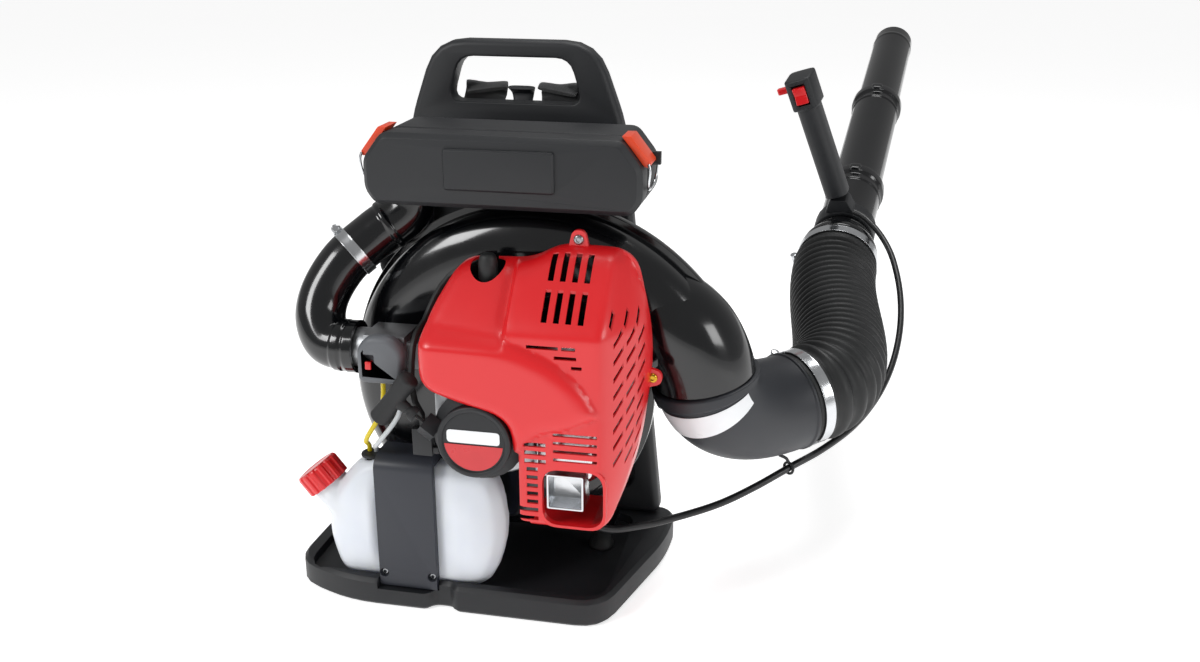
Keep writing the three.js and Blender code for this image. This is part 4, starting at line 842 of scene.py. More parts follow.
@dataclass
class BlowerPipes:
    """The three black pipes, each with the joint that the next one locks into."""

    sides: int = 96

    def collar(self, radius: float, end: float, grow: float = 3.6) -> list[list[float]]:
        """The outside profile of a bayonet socket: a bead, a waist and a flared mouth."""
        steps = ((0, 34), (1.6, 32), (1.6, 29), (0, 27), (0, 19), (grow, 15), (grow, 2), (grow - 1.4, 0))
        return [[radius + out, end - back] for out, back in steps]

    def build(self) -> None:
        """Turns each pipe from its wall's profile and adds the locking lugs."""
        swivel = [[42.5, -22], [45.5, -22], [45.5, -0.5], [50, 0.2], [50.5, 2], [50.5, 7], [49, 11],
                  [42.5, 26], [40.4, 33], [37.2, 38], *self.collar(37.0, 168), [34.8, 168], [34.8, 38],
                  [41.5, 10], [42.5, -22]]
        mid = [[32.3, 147], [34.5, 147], [34.5, 170], *self.collar(34.2, 411), [32, 411], [32.3, 147]]
        tip = [[29.4, 390], [31.8, 390], [31.6, 412], [30.9, 560], [30.9, 600], [31.6, 603], [31.6, 606],
               [30.9, 609], [30.5, 627.5], [30.0, 629.5], [28.3, 629.5], [28.3, 560], [29.4, 390]]
        for name, node, profile, end, radius in (
                ("pipe_swivel", "swivel_pipe", swivel, 168, 40.6),
                ("pipe_middle", "mid_pipe", mid, 411, 37.8),
                ("pipe_end", "end_pipe", tip, 0, 0)):
            parts = [turned(name, rounded(profile, 1.0), PIPE_START, PIPE_WAY, self.sides)]
            for turn in (90, 270) if end else ():
                angle = math.radians(turn)
                out = math.cos(angle) * PIPE_AXES[0] + math.sin(angle) * PIPE_AXES[2]
                at = PIPE_START + PIPE_WAY * (end - 9) * MM + out * radius * MM
                parts.append(self.lug(f"{name}_lug_{turn}", at, out))
            dress(merged(name, parts), GLOSS, Body.TUBE, node)

    def lug(self, name: str, at: Array, out: Array) -> Piece:
        """A small rounded lug on a socket: a superellipsoid in the pipe's own directions."""
        power = 0.55
        u, v = np.meshgrid(circle(28), np.linspace(-1, 1, 15) * math.pi / 2)
        across = np.cross(out, PIPE_WAY)
        points = (at + squared_off(np.cos(v) * np.cos(u), power)[..., None] * across * 8 * MM
                  + squared_off(np.cos(v) * np.sin(u), power)[..., None] * PIPE_WAY * 6.5 * MM
                  + (squared_off(np.sin(v), power) * 3.2 * MM)[..., None] * out)
        return new_piece(name, points.reshape(-1, 3), grid_faces(15, 28))


@dataclass
class FanScroll:
    """The two halves of the fan case: a growing channel round the fan that runs into the outlet."""

    centre: tuple[float, float] = (32.0, 212.0)
    tongue: float = 142.0
    outlet: float = 232.0
    half_depth: float = 48.0
    power: float = 2.4
    tongue_angle: float = 12.0
    start: float = 98.0
    flange: float = 6.0
    wall: float = 3.5
    shaft_hole: float = 18.0
    inlet: float = 84.0
    seam: float = 0.15  # half the gap between the two halves
    sides: int = 200

    def reach(self, angle: Array) -> Array:
        """How far the wall stands beyond the tongue's radius: it grows with the turn to the power 2.4."""
        turned_by = np.mod(self.tongue_angle - np.degrees(angle), 360)
        last = 360 - self.tongue_angle
        grow = self.outlet - self.tongue
        rising = grow * (np.minimum(turned_by, last) / last) ** self.power
        return np.where(turned_by > last, grow * (360 - turned_by) / self.tongue_angle, rising)

    def spun(self, name: str, profile: Rows) -> Piece:
        """Turns a (radius, depth) profile and lets its outer part follow the scroll."""
        shape = np.asarray(profile, float)[:-1]
        angle = circle(self.sides)
        r = shape[:, 0][:, None]
        far = r + blow(self.start, self.tongue, r) * self.reach(angle)[None]
        x, z = self.centre
        depth = shape[:, 1][:, None] * np.ones(self.sides)
        points = np.stack([x + far * np.cos(angle), depth, z + far * np.sin(angle)], -1)
        return new_piece(name, points.reshape(-1, 3) * MM, grid_faces(len(shape), self.sides, wrap_rows=True))

    def half_profile(self, side: int) -> list[list[float]]:
        """The wall's section on one side of the seam: a soft shoulder, a deep channel and a thin flange."""
        d, t, w, start, lip = self.half_depth, self.tongue, self.wall, self.start, self.tongue + self.flange
        hub = self.shaft_hole if side < 0 else self.inlet
        outside = [[hub, d - 6], [start - 2, d - 6], [start + 6, d - 4.5], [start + 14, d - 0.5],
                   [start + 20, d + 1], [start + 27, d + 0.4], [t - 12, d - 3], [t - 7, d - 8],
                   [t - 3, d - 15], [t - 0.8, d - 24], [t, d - 32], [t, 6], [lip, 5.4], [lip + 0.4, 4.6],
                   [lip + 0.4, self.seam]]
        inside = [[t - w, self.seam], [t - w, d - 32], [t - w - 4, d - 18], [t - w - 12, d - 9],
                  [start + 20, d + 1 - w], [start, d - 6 - w], [hub, d - 6 - w], [hub, d - 6]]
        return [[r, side * y] for r, y in outside + inside]

    def outlet_duct(self, side: int) -> Piece:
        """The outlet: a round channel out of the scroll's crown that bends down to the elbow's lip."""
        crown = vec(110, 0, 336)
        bend = bezier(crown, crown + vec(66, 0, -18), DUCT_TOP - DUCT_WAY * 62 * MM, DUCT_TOP, 120)
        path = evenly(bend, 90)
        share = np.linspace(0, 1, 90)
        outer = (36 + 16 * blow(0, 0.75, share)) * MM
        outer = outer * np.sqrt(np.clip(1 - (1 - np.clip(share / 0.14, 0, 1)) ** 2, 0.02, 1))
        duct = swept(f"outlet_{side}", path, outer, None, sides=96)
        keep = sorted((side * self.seam, side * 400))
        carve(duct, block("keep", (-400, keep[0], 0), (600, keep[1], 600)), "INTERSECT")
        return duct

    def build(self) -> None:
        """Makes the two halves, and gives the rear one its inlet, grille, feet and ears."""
        for side, name, node in ((-1, "scroll_front", "fan_case_front"), (1, "scroll_rear", "fan_case_rear")):
            half = self.spun(name + "_wall", self.half_profile(side))
            duct = self.outlet_duct(side)
            room = self.spun("fan_room", self.room_profile(side))
            carve(duct, room)
            parts = [half, duct]
            if side > 0:
                parts += self.rear_fittings()
            dress(merged(name, parts), GLOSS, Body.PACK, node)
        LOG.info("scroll: %d sides", self.sides)

    def room_profile(self, side: int) -> list[list[float]]:
        """The space that the fan turns in."""
        d, t = self.half_depth, self.tongue - 3
        shape = [[0.5, -1], [t, -1], [t, d - 31], [t - 8, d - 9], [self.start, d - 9], [0.5, d - 9],
                 [0.5, -1]]
        return [[r, side * y] for r, y in shape]

    def rear_fittings(self) -> list[Piece]:
        """The inlet's rolled rim, its grille of rings and spokes, the two feet and the two upper ears."""
        x, z = self.centre
        centre = vec(x, 0, z)
        rim = [[78, 38.5], [88, 41.5], [88, 46], [84, 50], [79.5, 50], [77.8, 46], [78, 38.5]]
        made = [turned("inlet_rim", rounded(rim, 1.6), centre, BACKWARDS, 120)]
        for r in range(22, 71, 12):
            bar = [[r - 1.4, 44.2], [r + 1.4, 44.2], [r + 1.4, 48], [r - 1.4, 48], [r - 1.4, 44.2]]
            made.append(turned(f"ring_{r}", rounded(bar, 0.9), centre, BACKWARDS, 72))
        hub = [[0, 44], [12, 44], [12, 47.5], [9, 49.4], [0, 49.4]]
        made.append(turned("grille_hub", rounded(hub, 1.2), centre, BACKWARDS, 48))
        for turn in range(0, 360, 30):
            a = math.radians(turn)
            way = np.array([math.cos(a), 0, math.sin(a)])
            line = evenly(np.stack([vec(x, 46, z) + way * reach * MM for reach in (10, 80)]), 8)
            made.append(swept(f"spoke_{turn}", line, np.full(8, 1.9 * MM), sides=12))
        for end in (-1, 1):
            foot_x = x + end * 88
            foot = block(f"foot_{end}", (foot_x - 17, 6, 50.2), (foot_x + 17, 40, 56))
            carve(foot, block(f"leg_{end}", (foot_x - 6, 6, 54), (foot_x + 6, 40, 104)), "UNION")
            made.append(foot)
        ear = rounded([[0, 20], [14, 20], [14, 50], [12, 52], [0, 52]], 1.2)
        for end, ear_x in ((-1, -105.5), (1, 131.5)):
            made.append(turned(f"ear_{end}", ear, vec(ear_x, 0, 330), BACKWARDS, 36))
        return made


# ---------------------------------------------------------------- the red engine cover
def closed_outline(corners: Rows, steps: int = 8) -> Array:
    """A closed 2-D outline whose corners (x, z, reach) are replaced by quadratic curves of that reach."""
    points = np.asarray([c[:2] for c in corners], float)
    made = []
    for i, here in enumerate(points):
        back, on = points[i - 1] - here, points[(i + 1) % len(points)] - here
        reach = min(corners[i][2], np.linalg.norm(back) / 2.05, np.linalg.norm(on) / 2.05)
        start, end = here + unit(back) * reach, here + unit(on) * reach
        t = np.linspace(0, 1, steps)[:, None]
        made.append((1 - t) ** 2 * start + 2 * t * (1 - t) * here + t ** 2 * end)
    return np.vstack(made)


def resampled(loop: Array, step: float) -> Array:
    """A closed outline with its points moved to even steps of length."""
    closed = np.vstack([loop, loop[:1]])
    s = distances(closed)
    wanted = np.linspace(0, s[-1], int(s[-1] / step), endpoint=False)
    return np.stack([np.interp(wanted, s, closed[:, i]) for i in (0, 1)], 1)


def edge_distance(points: Array, loop: Array) -> Array:
    """The distance of each 2-D point from a closed outline, positive inside it."""
    a, b = loop, np.roll(loop, -1, 0)
    ab = b - a
    ap = points[:, None] - a[None]
    t = np.clip((ap * ab).sum(-1) / np.maximum((ab * ab).sum(-1), 1e-12), 0, 1)
    gap = np.linalg.norm(ap - t[..., None] * ab, axis=-1).min(1)
    above = (a[None, :, 1] > points[:, None, 1]) != (b[None, :, 1] > points[:, None, 1])
    rise = np.where(ab[:, 1] == 0, 1e-12, ab[:, 1])
    cross_x = a[:, 0] + (points[:, None, 1] - a[None, :, 1]) * ab[:, 0] / rise
    inside = (above & (points[:, None, 0] < cross_x)).sum(1) % 2 == 1
    return np.where(inside, gap, -gap)


@dataclass
class EngineCover:
    """The big red cover: a front that leans back at the top, a raised lobe with a beak, and its slots."""

    front: float = -140.0
    rear: float = -66.0
    wall: float = 2.6
    round_over: float = 13.0
    spacing: float = 3.2
    corners: tuple[tuple[float, float, float], ...] = (
        (68, 125, 12), (158, 125, 16), (179, 190, 40), (192, 296, 40), (172, 388, 24), (102, 390, 14),
        (72, 374, 14), (4, 372, 18), (-21, 322, 26), (-21, 262, 22), (14, 250, 20), (68, 236, 22))
    lobe: tuple[tuple[float, float, float], ...] = (
        (-60, 322, 8), (-8, 321, 12), (63, 315, 30), (108, 298, 26), (137, 274, 16), (152, 247, 2),
        (121, 229, 26), (92, 224, 24), (62, 190, 8), (-60, 190, 8))
    lobe_rise: float = 10.0
    lobe_round: float = 18.0
    soft_bend: float = 9.0  # over how much height the front starts to lean back
    lean: float = 0.94
    turn_right: float = 1.75

    def depth(self, x: Array, z: Array, edge: Array) -> Array:
        """The front's y: it leans back above the shoulder, rises over the lobe and falls round the edge.

        Args:
            x: sideways positions in millimetres.
            z: heights in millimetres.
            edge: distances from the outline.

        Returns:
            The y of the front surface in millimetres.
        """
        shoulder = 311 + 15 * blow(58, 66, x)
        up = z - shoulder + self.soft_bend
        ramp = (up + np.sqrt(up ** 2 + 0.1) - np.sqrt(0.1)) / 2
        soft = self.soft_bend * (1 - np.exp(-np.maximum(up, 0) / self.soft_bend))
        lean = self.lean * np.where(up > 0, ramp - soft, 0)
        inside = np.maximum(edge_distance(np.stack([x, z], -1), closed_outline(self.lobe)), 0)
        t = np.clip(inside / self.lobe_round, 0, 1)
        raised = self.lobe_rise * np.sqrt(1 - (1 - t) ** 2) * (1 - 0.9 * blow(302, 330, z))
        swell = 1.5 * np.sin(np.clip((x + 21) / 213, 0, 1) * math.pi)
        far = np.maximum(x - 150, 0)
        turn_right = self.turn_right * (np.sqrt(far ** 2 + 64) - 8) * (1 - 0.55 * blow(150, 128, z))
        r = self.round_over
        fall = r * (1 - np.sqrt(np.clip(1 - (1 - np.clip(edge / r, 0, 1)) ** 2, 0, 1)))
        shelf = 2.2 * (blow(52, 55, x) - blow(60, 63, x)) * blow(322, 330, z)
        return self.front + lean - raised - swell * (1 - blow(0.2, 2, raised)) + turn_right + fall + shelf

    def solid(self, name: str, inset: float, back: float) -> Piece:
        """A closed block under the front surface: a middle, rings round the edge, a side wall and a back.

        Args:
            name: the object's name.
            inset: how far inside the outside skin it stays, in millimetres.
            back: the y of its flat back.

        Returns:
            The block.
        """
        loop = resampled(closed_outline(self.corners), self.spacing)
        ahead = np.roll(loop, -1, 0) - np.roll(loop, 1, 0)
        inward = np.stack([-ahead[:, 1], ahead[:, 0]], 1) / np.linalg.norm(ahead, axis=1, keepdims=True)
        for _ in range(6):
            inward = (np.roll(inward, 1, 0) + inward * 2 + np.roll(inward, -1, 0)) / 4
            inward /= np.linalg.norm(inward, axis=1, keepdims=True)
        steps = np.array([0, 0.35, 1.2, 2.7, 4.8, 7.5]) + inset
        rings = [loop + inward * d for d in steps]
        x0, z0 = loop.min(0)
        x1, z1 = loop.max(0)
        gx, gz = np.meshgrid(np.arange(x0, x1, self.spacing), np.arange(z0, z1, self.spacing))
        grid = np.stack([gx.ravel(), gz.ravel()], 1)
        grid = grid[edge_distance(grid, rings[-1]) > self.spacing * 0.6]
        count = len(loop)
        flat = np.vstack([rings[-1], grid])
        edges = [(i, (i + 1) % count) for i in range(count)]
        done = delaunay_2d_cdt([Vector(p) for p in flat.tolist()], edges, [], 1, 1e-5)
        middle = np.array([tuple(v) for v in done[0]])
        origin = {o: i for i, sources in enumerate(done[3]) for o in sources}
        ring_points = np.vstack(rings)
        edge = np.repeat(steps, count)
        ring_y = self.depth(ring_points[:, 0], ring_points[:, 1], edge) + inset
        mid_edge = edge_distance(middle, loop)
        mid_y = self.depth(middle[:, 0], middle[:, 1], mid_edge) + inset
        deepest = self.rear - 4.0 + inset
        back_ring = np.stack([rings[0][:, 0], np.full(count, back), rings[0][:, 1]], 1)
        points = [np.stack([ring_points[:, 0], np.minimum(ring_y, deepest), ring_points[:, 1]], 1),
                  np.stack([middle[:, 0], np.minimum(mid_y, deepest), middle[:, 1]], 1), back_ring]
        faces = grid_faces(len(rings), count).tolist()
        base = len(ring_points)
        inner_ring = [base + origin[i] for i in range(count)]
        faces += [[base + v for v in face] for face in done[2]]
        last = (len(rings) - 1) * count
        after = np.roll(np.arange(count), -1)
        faces += [[last + i, last + j, inner_ring[j], inner_ring[i]] for i, j in enumerate(after.tolist())]
        tail = base + len(middle)
        faces += [[i, tail + i, tail + j, j] for i, j in enumerate(after.tolist())]
        faces.append([tail + i for i in range(count)])
        return new_piece(name, np.vstack(points) * MM, faces, 50)

    def slots(self) -> Piece:
        """Every slot as one cutting tool: front, top and side."""
        front, inside = self.front - 16, self.front + 34
        lower_right = [(108, 150, z, 3.2) for z in (198, 206.5, 215, 223.5)]
        upper = [(84, 114, 309, 3.4), (117, 130, 309, 3.4), (110, 131, 300, 3.4), (126, 136, 291, 3.4)]
        lower_left = []
        for i, z in enumerate((134, 143, 151.5, 160, 168.5, 177, 185.5, 194, 202.5, 211)):
            x0, x1 = ((74, 93) if i < 2 else (82, 93)) if i < 7 else (80, 101)
            lower_left.append((x0, x1, z, 4.4))
        made = [block(f"cut_{i}", (x0, front, z), (x1, inside, z + high))
                for i, (x0, x1, z, high) in enumerate(lower_right + lower_left + upper)]
        for y0, y1 in ((-134, -112), (-106, -82)):
            for x in np.arange(4) * 11.5 + 96:
                made.append(block(f"top_{y0}_{x}", (x, y0, 330), (x + 5.6, y1, 420)))
        for column in range(3):
            for i in range(9):
                y, z = -128 + column * 15, 190 + i * 17 - column * 2
                corners = [[y, z], [y + 11.5, z + 13], [y + 11.5, z + 18], [y, z + 5]]
                points = [[x, *c] for x in (150, 215) for c in corners]
                sides = grid_faces(2, 4)[:, ::-1].tolist()
                made.append(new_piece(f"side_{column}_{i}", np.array(points, float) * MM,
                                      [[0, 1, 2, 3], [7, 6, 5, 4], *sides]))
        return merged("slots", made)

    def window(self, grow: float, lows: float, highs: float, name: str) -> Piece:
        """A rounded-square prism through the front for the exhaust, or the block of the ring round it."""
        x0, x1, z0, z1 = 97 - grow, 156 + grow, 131 - grow, 189 + grow
        corners = [(x, z, 17) for x, z in ((x0, z0), (x1, z0), (x1, z1), (x0, z1))]
        return prism(name, closed_outline(corners), lows, highs)

    def build(self) -> None:
        """Makes the shell, cuts its slots, adds its lugs and the window's rim, and shades it smooth."""
        shell = self.solid("engine_cover_shell", 0.0, self.rear)
        carve(shell, self.solid("inside", self.wall, self.rear + 6))
        carve(shell, block("crankcase_room", (-30, -139.5, 120), (84, -60, 262)))
        carve(shell, block("carburettor_room", (-30, -104, 254), (-14, -60, 298)))
        carve(shell, turned("plug_well", [[0, 0], [17, 0], [17, 90], [0, 90]], vec(32, -82, 325), UP, 48))
        carve(shell, self.slots())
        carve(shell, self.window(0, self.front - 20, self.front + 30, "window"))
        carve(shell, block("behind", (-80, self.rear - 0.2, 60), (260, 0, 460)))
        top = closed_outline([(106, 378, 2), (130, 378, 2), (124, 404, 7), (112, 404, 7)])
        side = closed_outline([(176, 249, 2), (199, 256, 7), (199, 268, 7), (176, 275, 2)])
        lugs = []
        for name, loop, x, z in (("lug_0", top, 118, 395), ("lug_1", side, 190, 262)):
            lug = prism(name, loop, self.rear - 6, self.rear - 1)
            eye = [[0, -10], [3.2, -10], [3.2, 10], [0, 10]]
            carve(lug, turned("eye", eye, vec(x, self.rear - 3, z), BACKWARDS, 24))
            lugs.append(lug)
        rim = self.window(2.6, self.front - 1.0, self.front + 6, "window_rim")
        carve(rim, self.window(-0.01, self.front - 20, self.front + 30, "window_hole"))
        cover = merged("engine_cover_shell_full", [shell, *lugs, rim])
        smooth(cover, 38)
        dress(cover, RED, Body.PACK, "engine_cover")
        LOG.info("engine cover: %d faces", len(cover.data.polygons))


# ---------------------------------------------------------------- tank, starter and intake
@dataclass
class FuelTank:
    """The milky blow-moulded tank, its ribbed cap and its grommet."""

    voxel_mm: float = 2.4
    passes: int = 12
    bulge_mm: float = 7.0

    def build(self) -> None:
        """Rounds the tank, swells it on both sides of the strap and adds the cap and grommet."""
        tank = softened("fuel_tank", self.voxel_mm, self.passes, POLYETHYLENE)
        co = coords(tank)
        x, y, z = (co / MM).T
        high_mid = blow(24, 70, z) * (1 - blow(105, 152, z))
        left = blow(-150, -112, x) * (1 - blow(-100, -86, x))
        right = blow(-30, 0, x) * (1 - blow(8, 44, x))
        co[:, 1] -= self.bulge_mm * MM * (left + right) * high_mid * (1 - blow(-98, -78, y))
        set_coords(tank, co)
        neck_way = unit([-0.62, 0, 0.78])
        mouth = vec(-130, -80, 96) + neck_way * 40 * MM
        profile = rounded([[0, 3.2], [18.6, 2.6], [20.6, 2.6], [20.6, -9.6], [23.0, -9.6], [23.4, -8.6],
                           [23.4, 10.5], [21.8, 13.2], [18, 14], [15, 13.2], [0, 12.6]], 1.0)
        cap = turned("fuel_cap_ribbed", profile, mouth, neck_way, 240, ribs=14, rib_depth=1.5)
        dress(cap, RED, Body.CAP, "fuel_cap")
        grommet = [[0, -6], [7, -6], [7.4, -2], [7.4, 0.6], [11.5, 0.6], [12.4, 1.6], [12, 3.4], [9, 4.6],
                   [0, 4.2]]
        dress(turned("grommet", rounded(grommet, 0.8), vec(-98, -80, 156), UP, 48), RUBBER, Body.PACK)
        LOG.info("fuel tank: %d faces", len(tank.data.polygons))


@dataclass
class Starter:
    """The recoil starter's round cover with its plain label, and the T-shaped pull grip."""

    centre: tuple[float, float] = (32.0, 212.0)
    face: float = -146.0

    def film(self, name: str, loop: Array, finish: Finish, lift: float) -> None:
        """A thin label cut to an outline, lying just in front of the cover."""
        dress(prism(name, loop, self.face - lift, self.face - lift + 0.4), finish, Body.PACK)

    def build(self) -> None:
        """Makes the cover's rim ring, its label and the grip."""
        x, z = self.centre
        eased("starter_case", 1.2)
        ring = rounded([[30.5, -0.2], [31.5, -1.6], [34.5, -1.9], [36.2, -0.6], [36.2, 9], [35, 10],
                        [34.6, 2], [31, 1.4], [30.5, -0.2]], 0.7)
        dress(turned("starter_rim", ring, vec(x, self.face, z), BACKWARDS, 96), MOULDED, Body.PACK)
        arc = np.linspace(math.pi + 0.1, math.tau - 0.1, 60)
        segment = np.stack([x + 29 * np.cos(arc), z + 29 * np.sin(arc)], 1)
        self.film("label_segment", segment, LABEL_RED, 0.5)
        bar = [(x + out, z + up, 4) for out, up in ((-26, -1), (26, -1), (26, 12), (-26, 12))]
        self.film("label_bar", closed_outline(bar), LABEL_WHITE, 0.7)
        self.grip()

    def grip(self) -> None:
        """The grip: a waisted crossbar and a stem, each a swept round section that swells."""
        way, across = unit([-0.8, 0, 0.6]), unit([0.6, 0, 0.8])
        mouth = vec(32 - 40, self.face + 12, 214) + way * 16 * MM
        t = np.linspace(-1, 1, 60)
        bar_line = mouth + way * 36 * MM + t[:, None] * across * 30 * MM
        round_end = np.sqrt(np.clip(1 - np.clip((np.abs(t) - 0.86) / 0.14, 0, 1) ** 2, 0.01, 1))
        bar_radius = (9.4 + 1.3 * t ** 2) * round_end * MM
        s = np.linspace(0, 1, 40)
        stem_line = mouth + way * (10 + 24 * s[:, None]) * MM
        waist = blow(0.25, 0.3, s) - blow(0.4, 0.45, s)
        stem_radius = (5.6 + 2.2 * np.cos(s * math.pi) ** 2 - waist) * MM
        pieces = [swept("grip_bar", bar_line, bar_radius, sides=40),
                  swept("grip_stem", stem_line, stem_radius, sides=32)]
        dress(merged("pull_grip_moulded", pieces), GRIP, Body.PULL, "starter_grip")


@dataclass
class Intake:
    """The glossy pipe from the air cleaner to the carburettor, and its clamp."""

    radius_mm: float = 25.0
    points: tuple[tuple[float, float, float], ...] = (
        (-70, -7, 416.5), (-73, -9, 400), (-103, -24, 376), (-131, -44, 350), (-148, -60, 318),
        (-148, -72, 296), (-136, -81, 279), (-116, -83.5, 276), (-103, -83.5, 276))
    clamp_at: float = 0.36  # share of the pipe's points before its clamp

    def build(self) -> None:
        """Sweeps the pipe, with a bead at the cleaner and grooves in its end at the carburettor."""
        path = evenly(catmull(np.array(self.points) * MM, 40), 220)
        length = distances(path)[-1] / MM
        s = np.linspace(0, length, len(path))
        left = length - s
        outer = self.radius_mm + 1.6 * (blow(38, 41, s) - blow(44, 47, s))
        outer = outer + 1.5 * (1 - blow(20, 23, left)) - 1.2 * (blow(9, 10.5, left) - blow(12, 13.5, left))
        pipe = swept("intake_bend", path, outer * MM, np.minimum(outer - 3, 22) * MM, sides=96, sharp=50)
        carve(pipe, block("under_cleaner", (-260, -200, 200), (60, 100, 417.6)), "INTERSECT")
        smooth(pipe, 50)
        dress(pipe, GLOSS, Body.PACK, "intake_pipe")
        at = int(self.clamp_at * len(path))
        way = unit(path[at + 2] - path[at - 2])
        radius = self.radius_mm + 0.2
        WormClamp("intake_band", "intake_clamp", radius, path[at], way, Body.PACK, 300, 11.0).build()


# ---------------------------------------------------------------- soft goods
@dataclass
class Harness:
    """The padded back rest, and the two shoulder straps with their webbing, buckles and loops."""

    voxel_mm: float = 5.0
    pressure: float = 4.0
    cloth_frames: int = 20
    cap_mm: float = 7.0
    back_y: float = 112.6
    channels: tuple[float, ...] = (176.0, 262.0, 348.0)
    stitches: tuple[float, ...] = (268.0, 306.0, 344.0, 382.0, 420.0)
    middle_x: float = 13.0
    band_sides: int = 40

    def puff(self, piece: Piece) -> None:
        """Swells a closed pad as stuffed cloth does, by a short cloth simulation with air pressure inside.

        Args:
            piece: the pad, a little smaller than it should end.
        """
        remesh = piece.modifiers.new("cubes", "REMESH")
        remesh.mode, remesh.voxel_size = "VOXEL", self.voxel_mm * MM
        apply_modifiers(piece)
        before = coords(piece)
        cloth = piece.modifiers.new("cloth", "CLOTH")
        cloth.settings.use_pressure = True
        cloth.settings.uniform_pressure_force = self.pressure
        cloth.settings.effector_weights.gravity = 0.0
        cloth.settings.quality = 5
        for frame_number in range(1, self.cloth_frames + 1):
            bpy.context.scene.frame_set(frame_number)
        apply_modifiers(piece)
        bpy.context.scene.frame_set(1)
        move = coords(piece) - before
        size = np.linalg.norm(move, axis=1, keepdims=True)
        move *= np.minimum(1, self.cap_mm * MM / np.maximum(size, 1e-9))
        set_coords(piece, before + move)

    def pad(self) -> None:
        """The back rest: puffed, flat against the frame, with three sewn channels and a piped edge."""
        loop = closed_outline([(-98, 103, 26), (124, 103, 26), (99, 445, 26), (-73, 445, 26)], 10)
        count = len(loop)
        layers = [(10, 114), (2, 117), (0, 122), (2, 128), (10, 131)]
        middle = loop.mean(0)
        rings = []
        for inset, y in layers:
            pulled = loop + (middle - loop) / np.linalg.norm(middle - loop, axis=1, keepdims=True) * inset
            rings.append(np.stack([pulled[:, 0], np.full(count, y), pulled[:, 1]], 1))
        faces = grid_faces(len(layers), count).tolist()
        faces += [list(range(count)), list(range((len(layers) - 1) * count, len(layers) * count))]
        cushion = new_piece("back_rest_pad", np.vstack(rings) * MM, faces)
        self.puff(cushion)
        finer = cushion.modifiers.new("finer", "SUBSURF")
        finer.levels = finer.render_levels = 1
        apply_modifiers(cushion)
        co = coords(cushion) / MM
        rear = blow(118, 127, co[:, 1])
        for z in self.channels:
            co[:, 1] -= 6.5 * rear * np.exp(-((co[:, 2] - z) / 4.5) ** 2)
        co[:, 1] -= 4.0 * rear * np.exp(-((co[:, 0] - self.middle_x) / 9.0) ** 2)
        co[:, 1] = np.maximum(co[:, 1], self.back_y)
        set_coords(cushion, co * MM)
        smooth(cushion, 70)
        dress(cushion, MESH_CLOTH, Body.PACK, "back_pad")
        edge = resampled(loop, 4.0)
        line = np.stack([edge[:, 0], np.full(len(edge), 121.0), edge[:, 1]], 1) * MM
        self.ring("pad_piping", line, 2.2, WEBBING)

    def ring(self, name: str, line: Array, radius_mm: float, finish: Finish) -> None:
        """A closed round cord along a loop of points."""
        ahead = np.roll(line, -1, 0) - np.roll(line, 1, 0)
        ahead /= np.linalg.norm(ahead, axis=1, keepdims=True)
        side = np.cross(ahead, [0.0, 1.0, 0.0])
        side /= np.linalg.norm(side, axis=1, keepdims=True)
        other = np.cross(ahead, side)
        points = line[:, None] + radius_mm * MM * ring_ways(circle(10), side, other)
        cord = new_piece(name, points.reshape(-1, 3), grid_faces(len(line), 10, wrap_rows=True))
        dress(cord, finish, Body.PACK, slot="webbing")

    def band(self, name: str, points: Rows, widths: Sequence[float], thicks: Sequence[float]) -> Piece:
        """A flat band along a path: its section is a flattened superellipse, wide across x.

        Args:
            name: the piece's name.
            points: the path in millimetres.
            widths: the whole width at each of the path's points.
            thicks: the whole thickness at each of them.

        Returns:
            The band.
        """
        path = catmull(np.asarray(points, float) * MM, 16)
        at = np.linspace(0, 1, len(path))
        given = np.linspace(0, 1, len(widths))
        half_w = np.interp(at, given, widths)[:, None] / 2 * MM
        half_t = np.interp(at, given, thicks)[:, None] / 2 * MM
        tangent = np.gradient(path, axis=0)
        tangent /= np.linalg.norm(tangent, axis=1, keepdims=True)
        across = np.array([1.0, 0, 0]) - tangent * tangent[:, :1]
        across /= np.linalg.norm(across, axis=1, keepdims=True)
        out = np.cross(across, tangent)
        angle = circle(self.band_sides)
        ring = (path[:, None] + (half_w * squared_off(np.cos(angle), 0.55))[..., None] * across[:, None]
                + (half_t * squared_off(np.sin(angle), 0.75))[..., None] * out[:, None])
        first, last = (end.mean(1, keepdims=True).repeat(len(angle), 1) for end in (ring[:1], ring[-1:]))
        stack = np.concatenate([first, ring, last])
        return new_piece(name, stack.reshape(-1, 3), grid_faces(len(stack), len(angle)), 60)

    def webbing(self, name: str, points: Rows, widths: Sequence[float], thicks: Sequence[float]) -> None:
        """A band of plain webbing."""
        dress(self.band(name, points, widths, thicks), WEBBING, Body.PACK, slot="webbing")

    def buckle(self, name: str, middle: Array) -> None:
        """A ladder-lock buckle: three bars between two rails."""
        bars = []
        for drop in (-9, 0, 9):
            ends = np.stack([middle + vec(edge, 0.12 * drop, drop) for edge in (-17, 17)])
            bars.append(swept(f"bar_{drop}", evenly(ends, 6), np.full(6, 2.5 * MM), sides=16))
        for edge in (-17, 17):
            ends = np.stack([middle + vec(edge, lean, drop) for lean, drop in ((-1.2, -11), (1.2, 11))])
            bars.append(swept(f"rail_{edge}", evenly(ends, 6), np.full(6, 3.1 * MM), sides=16))
        dress(merged(name, bars), MOULDED, Body.PACK)

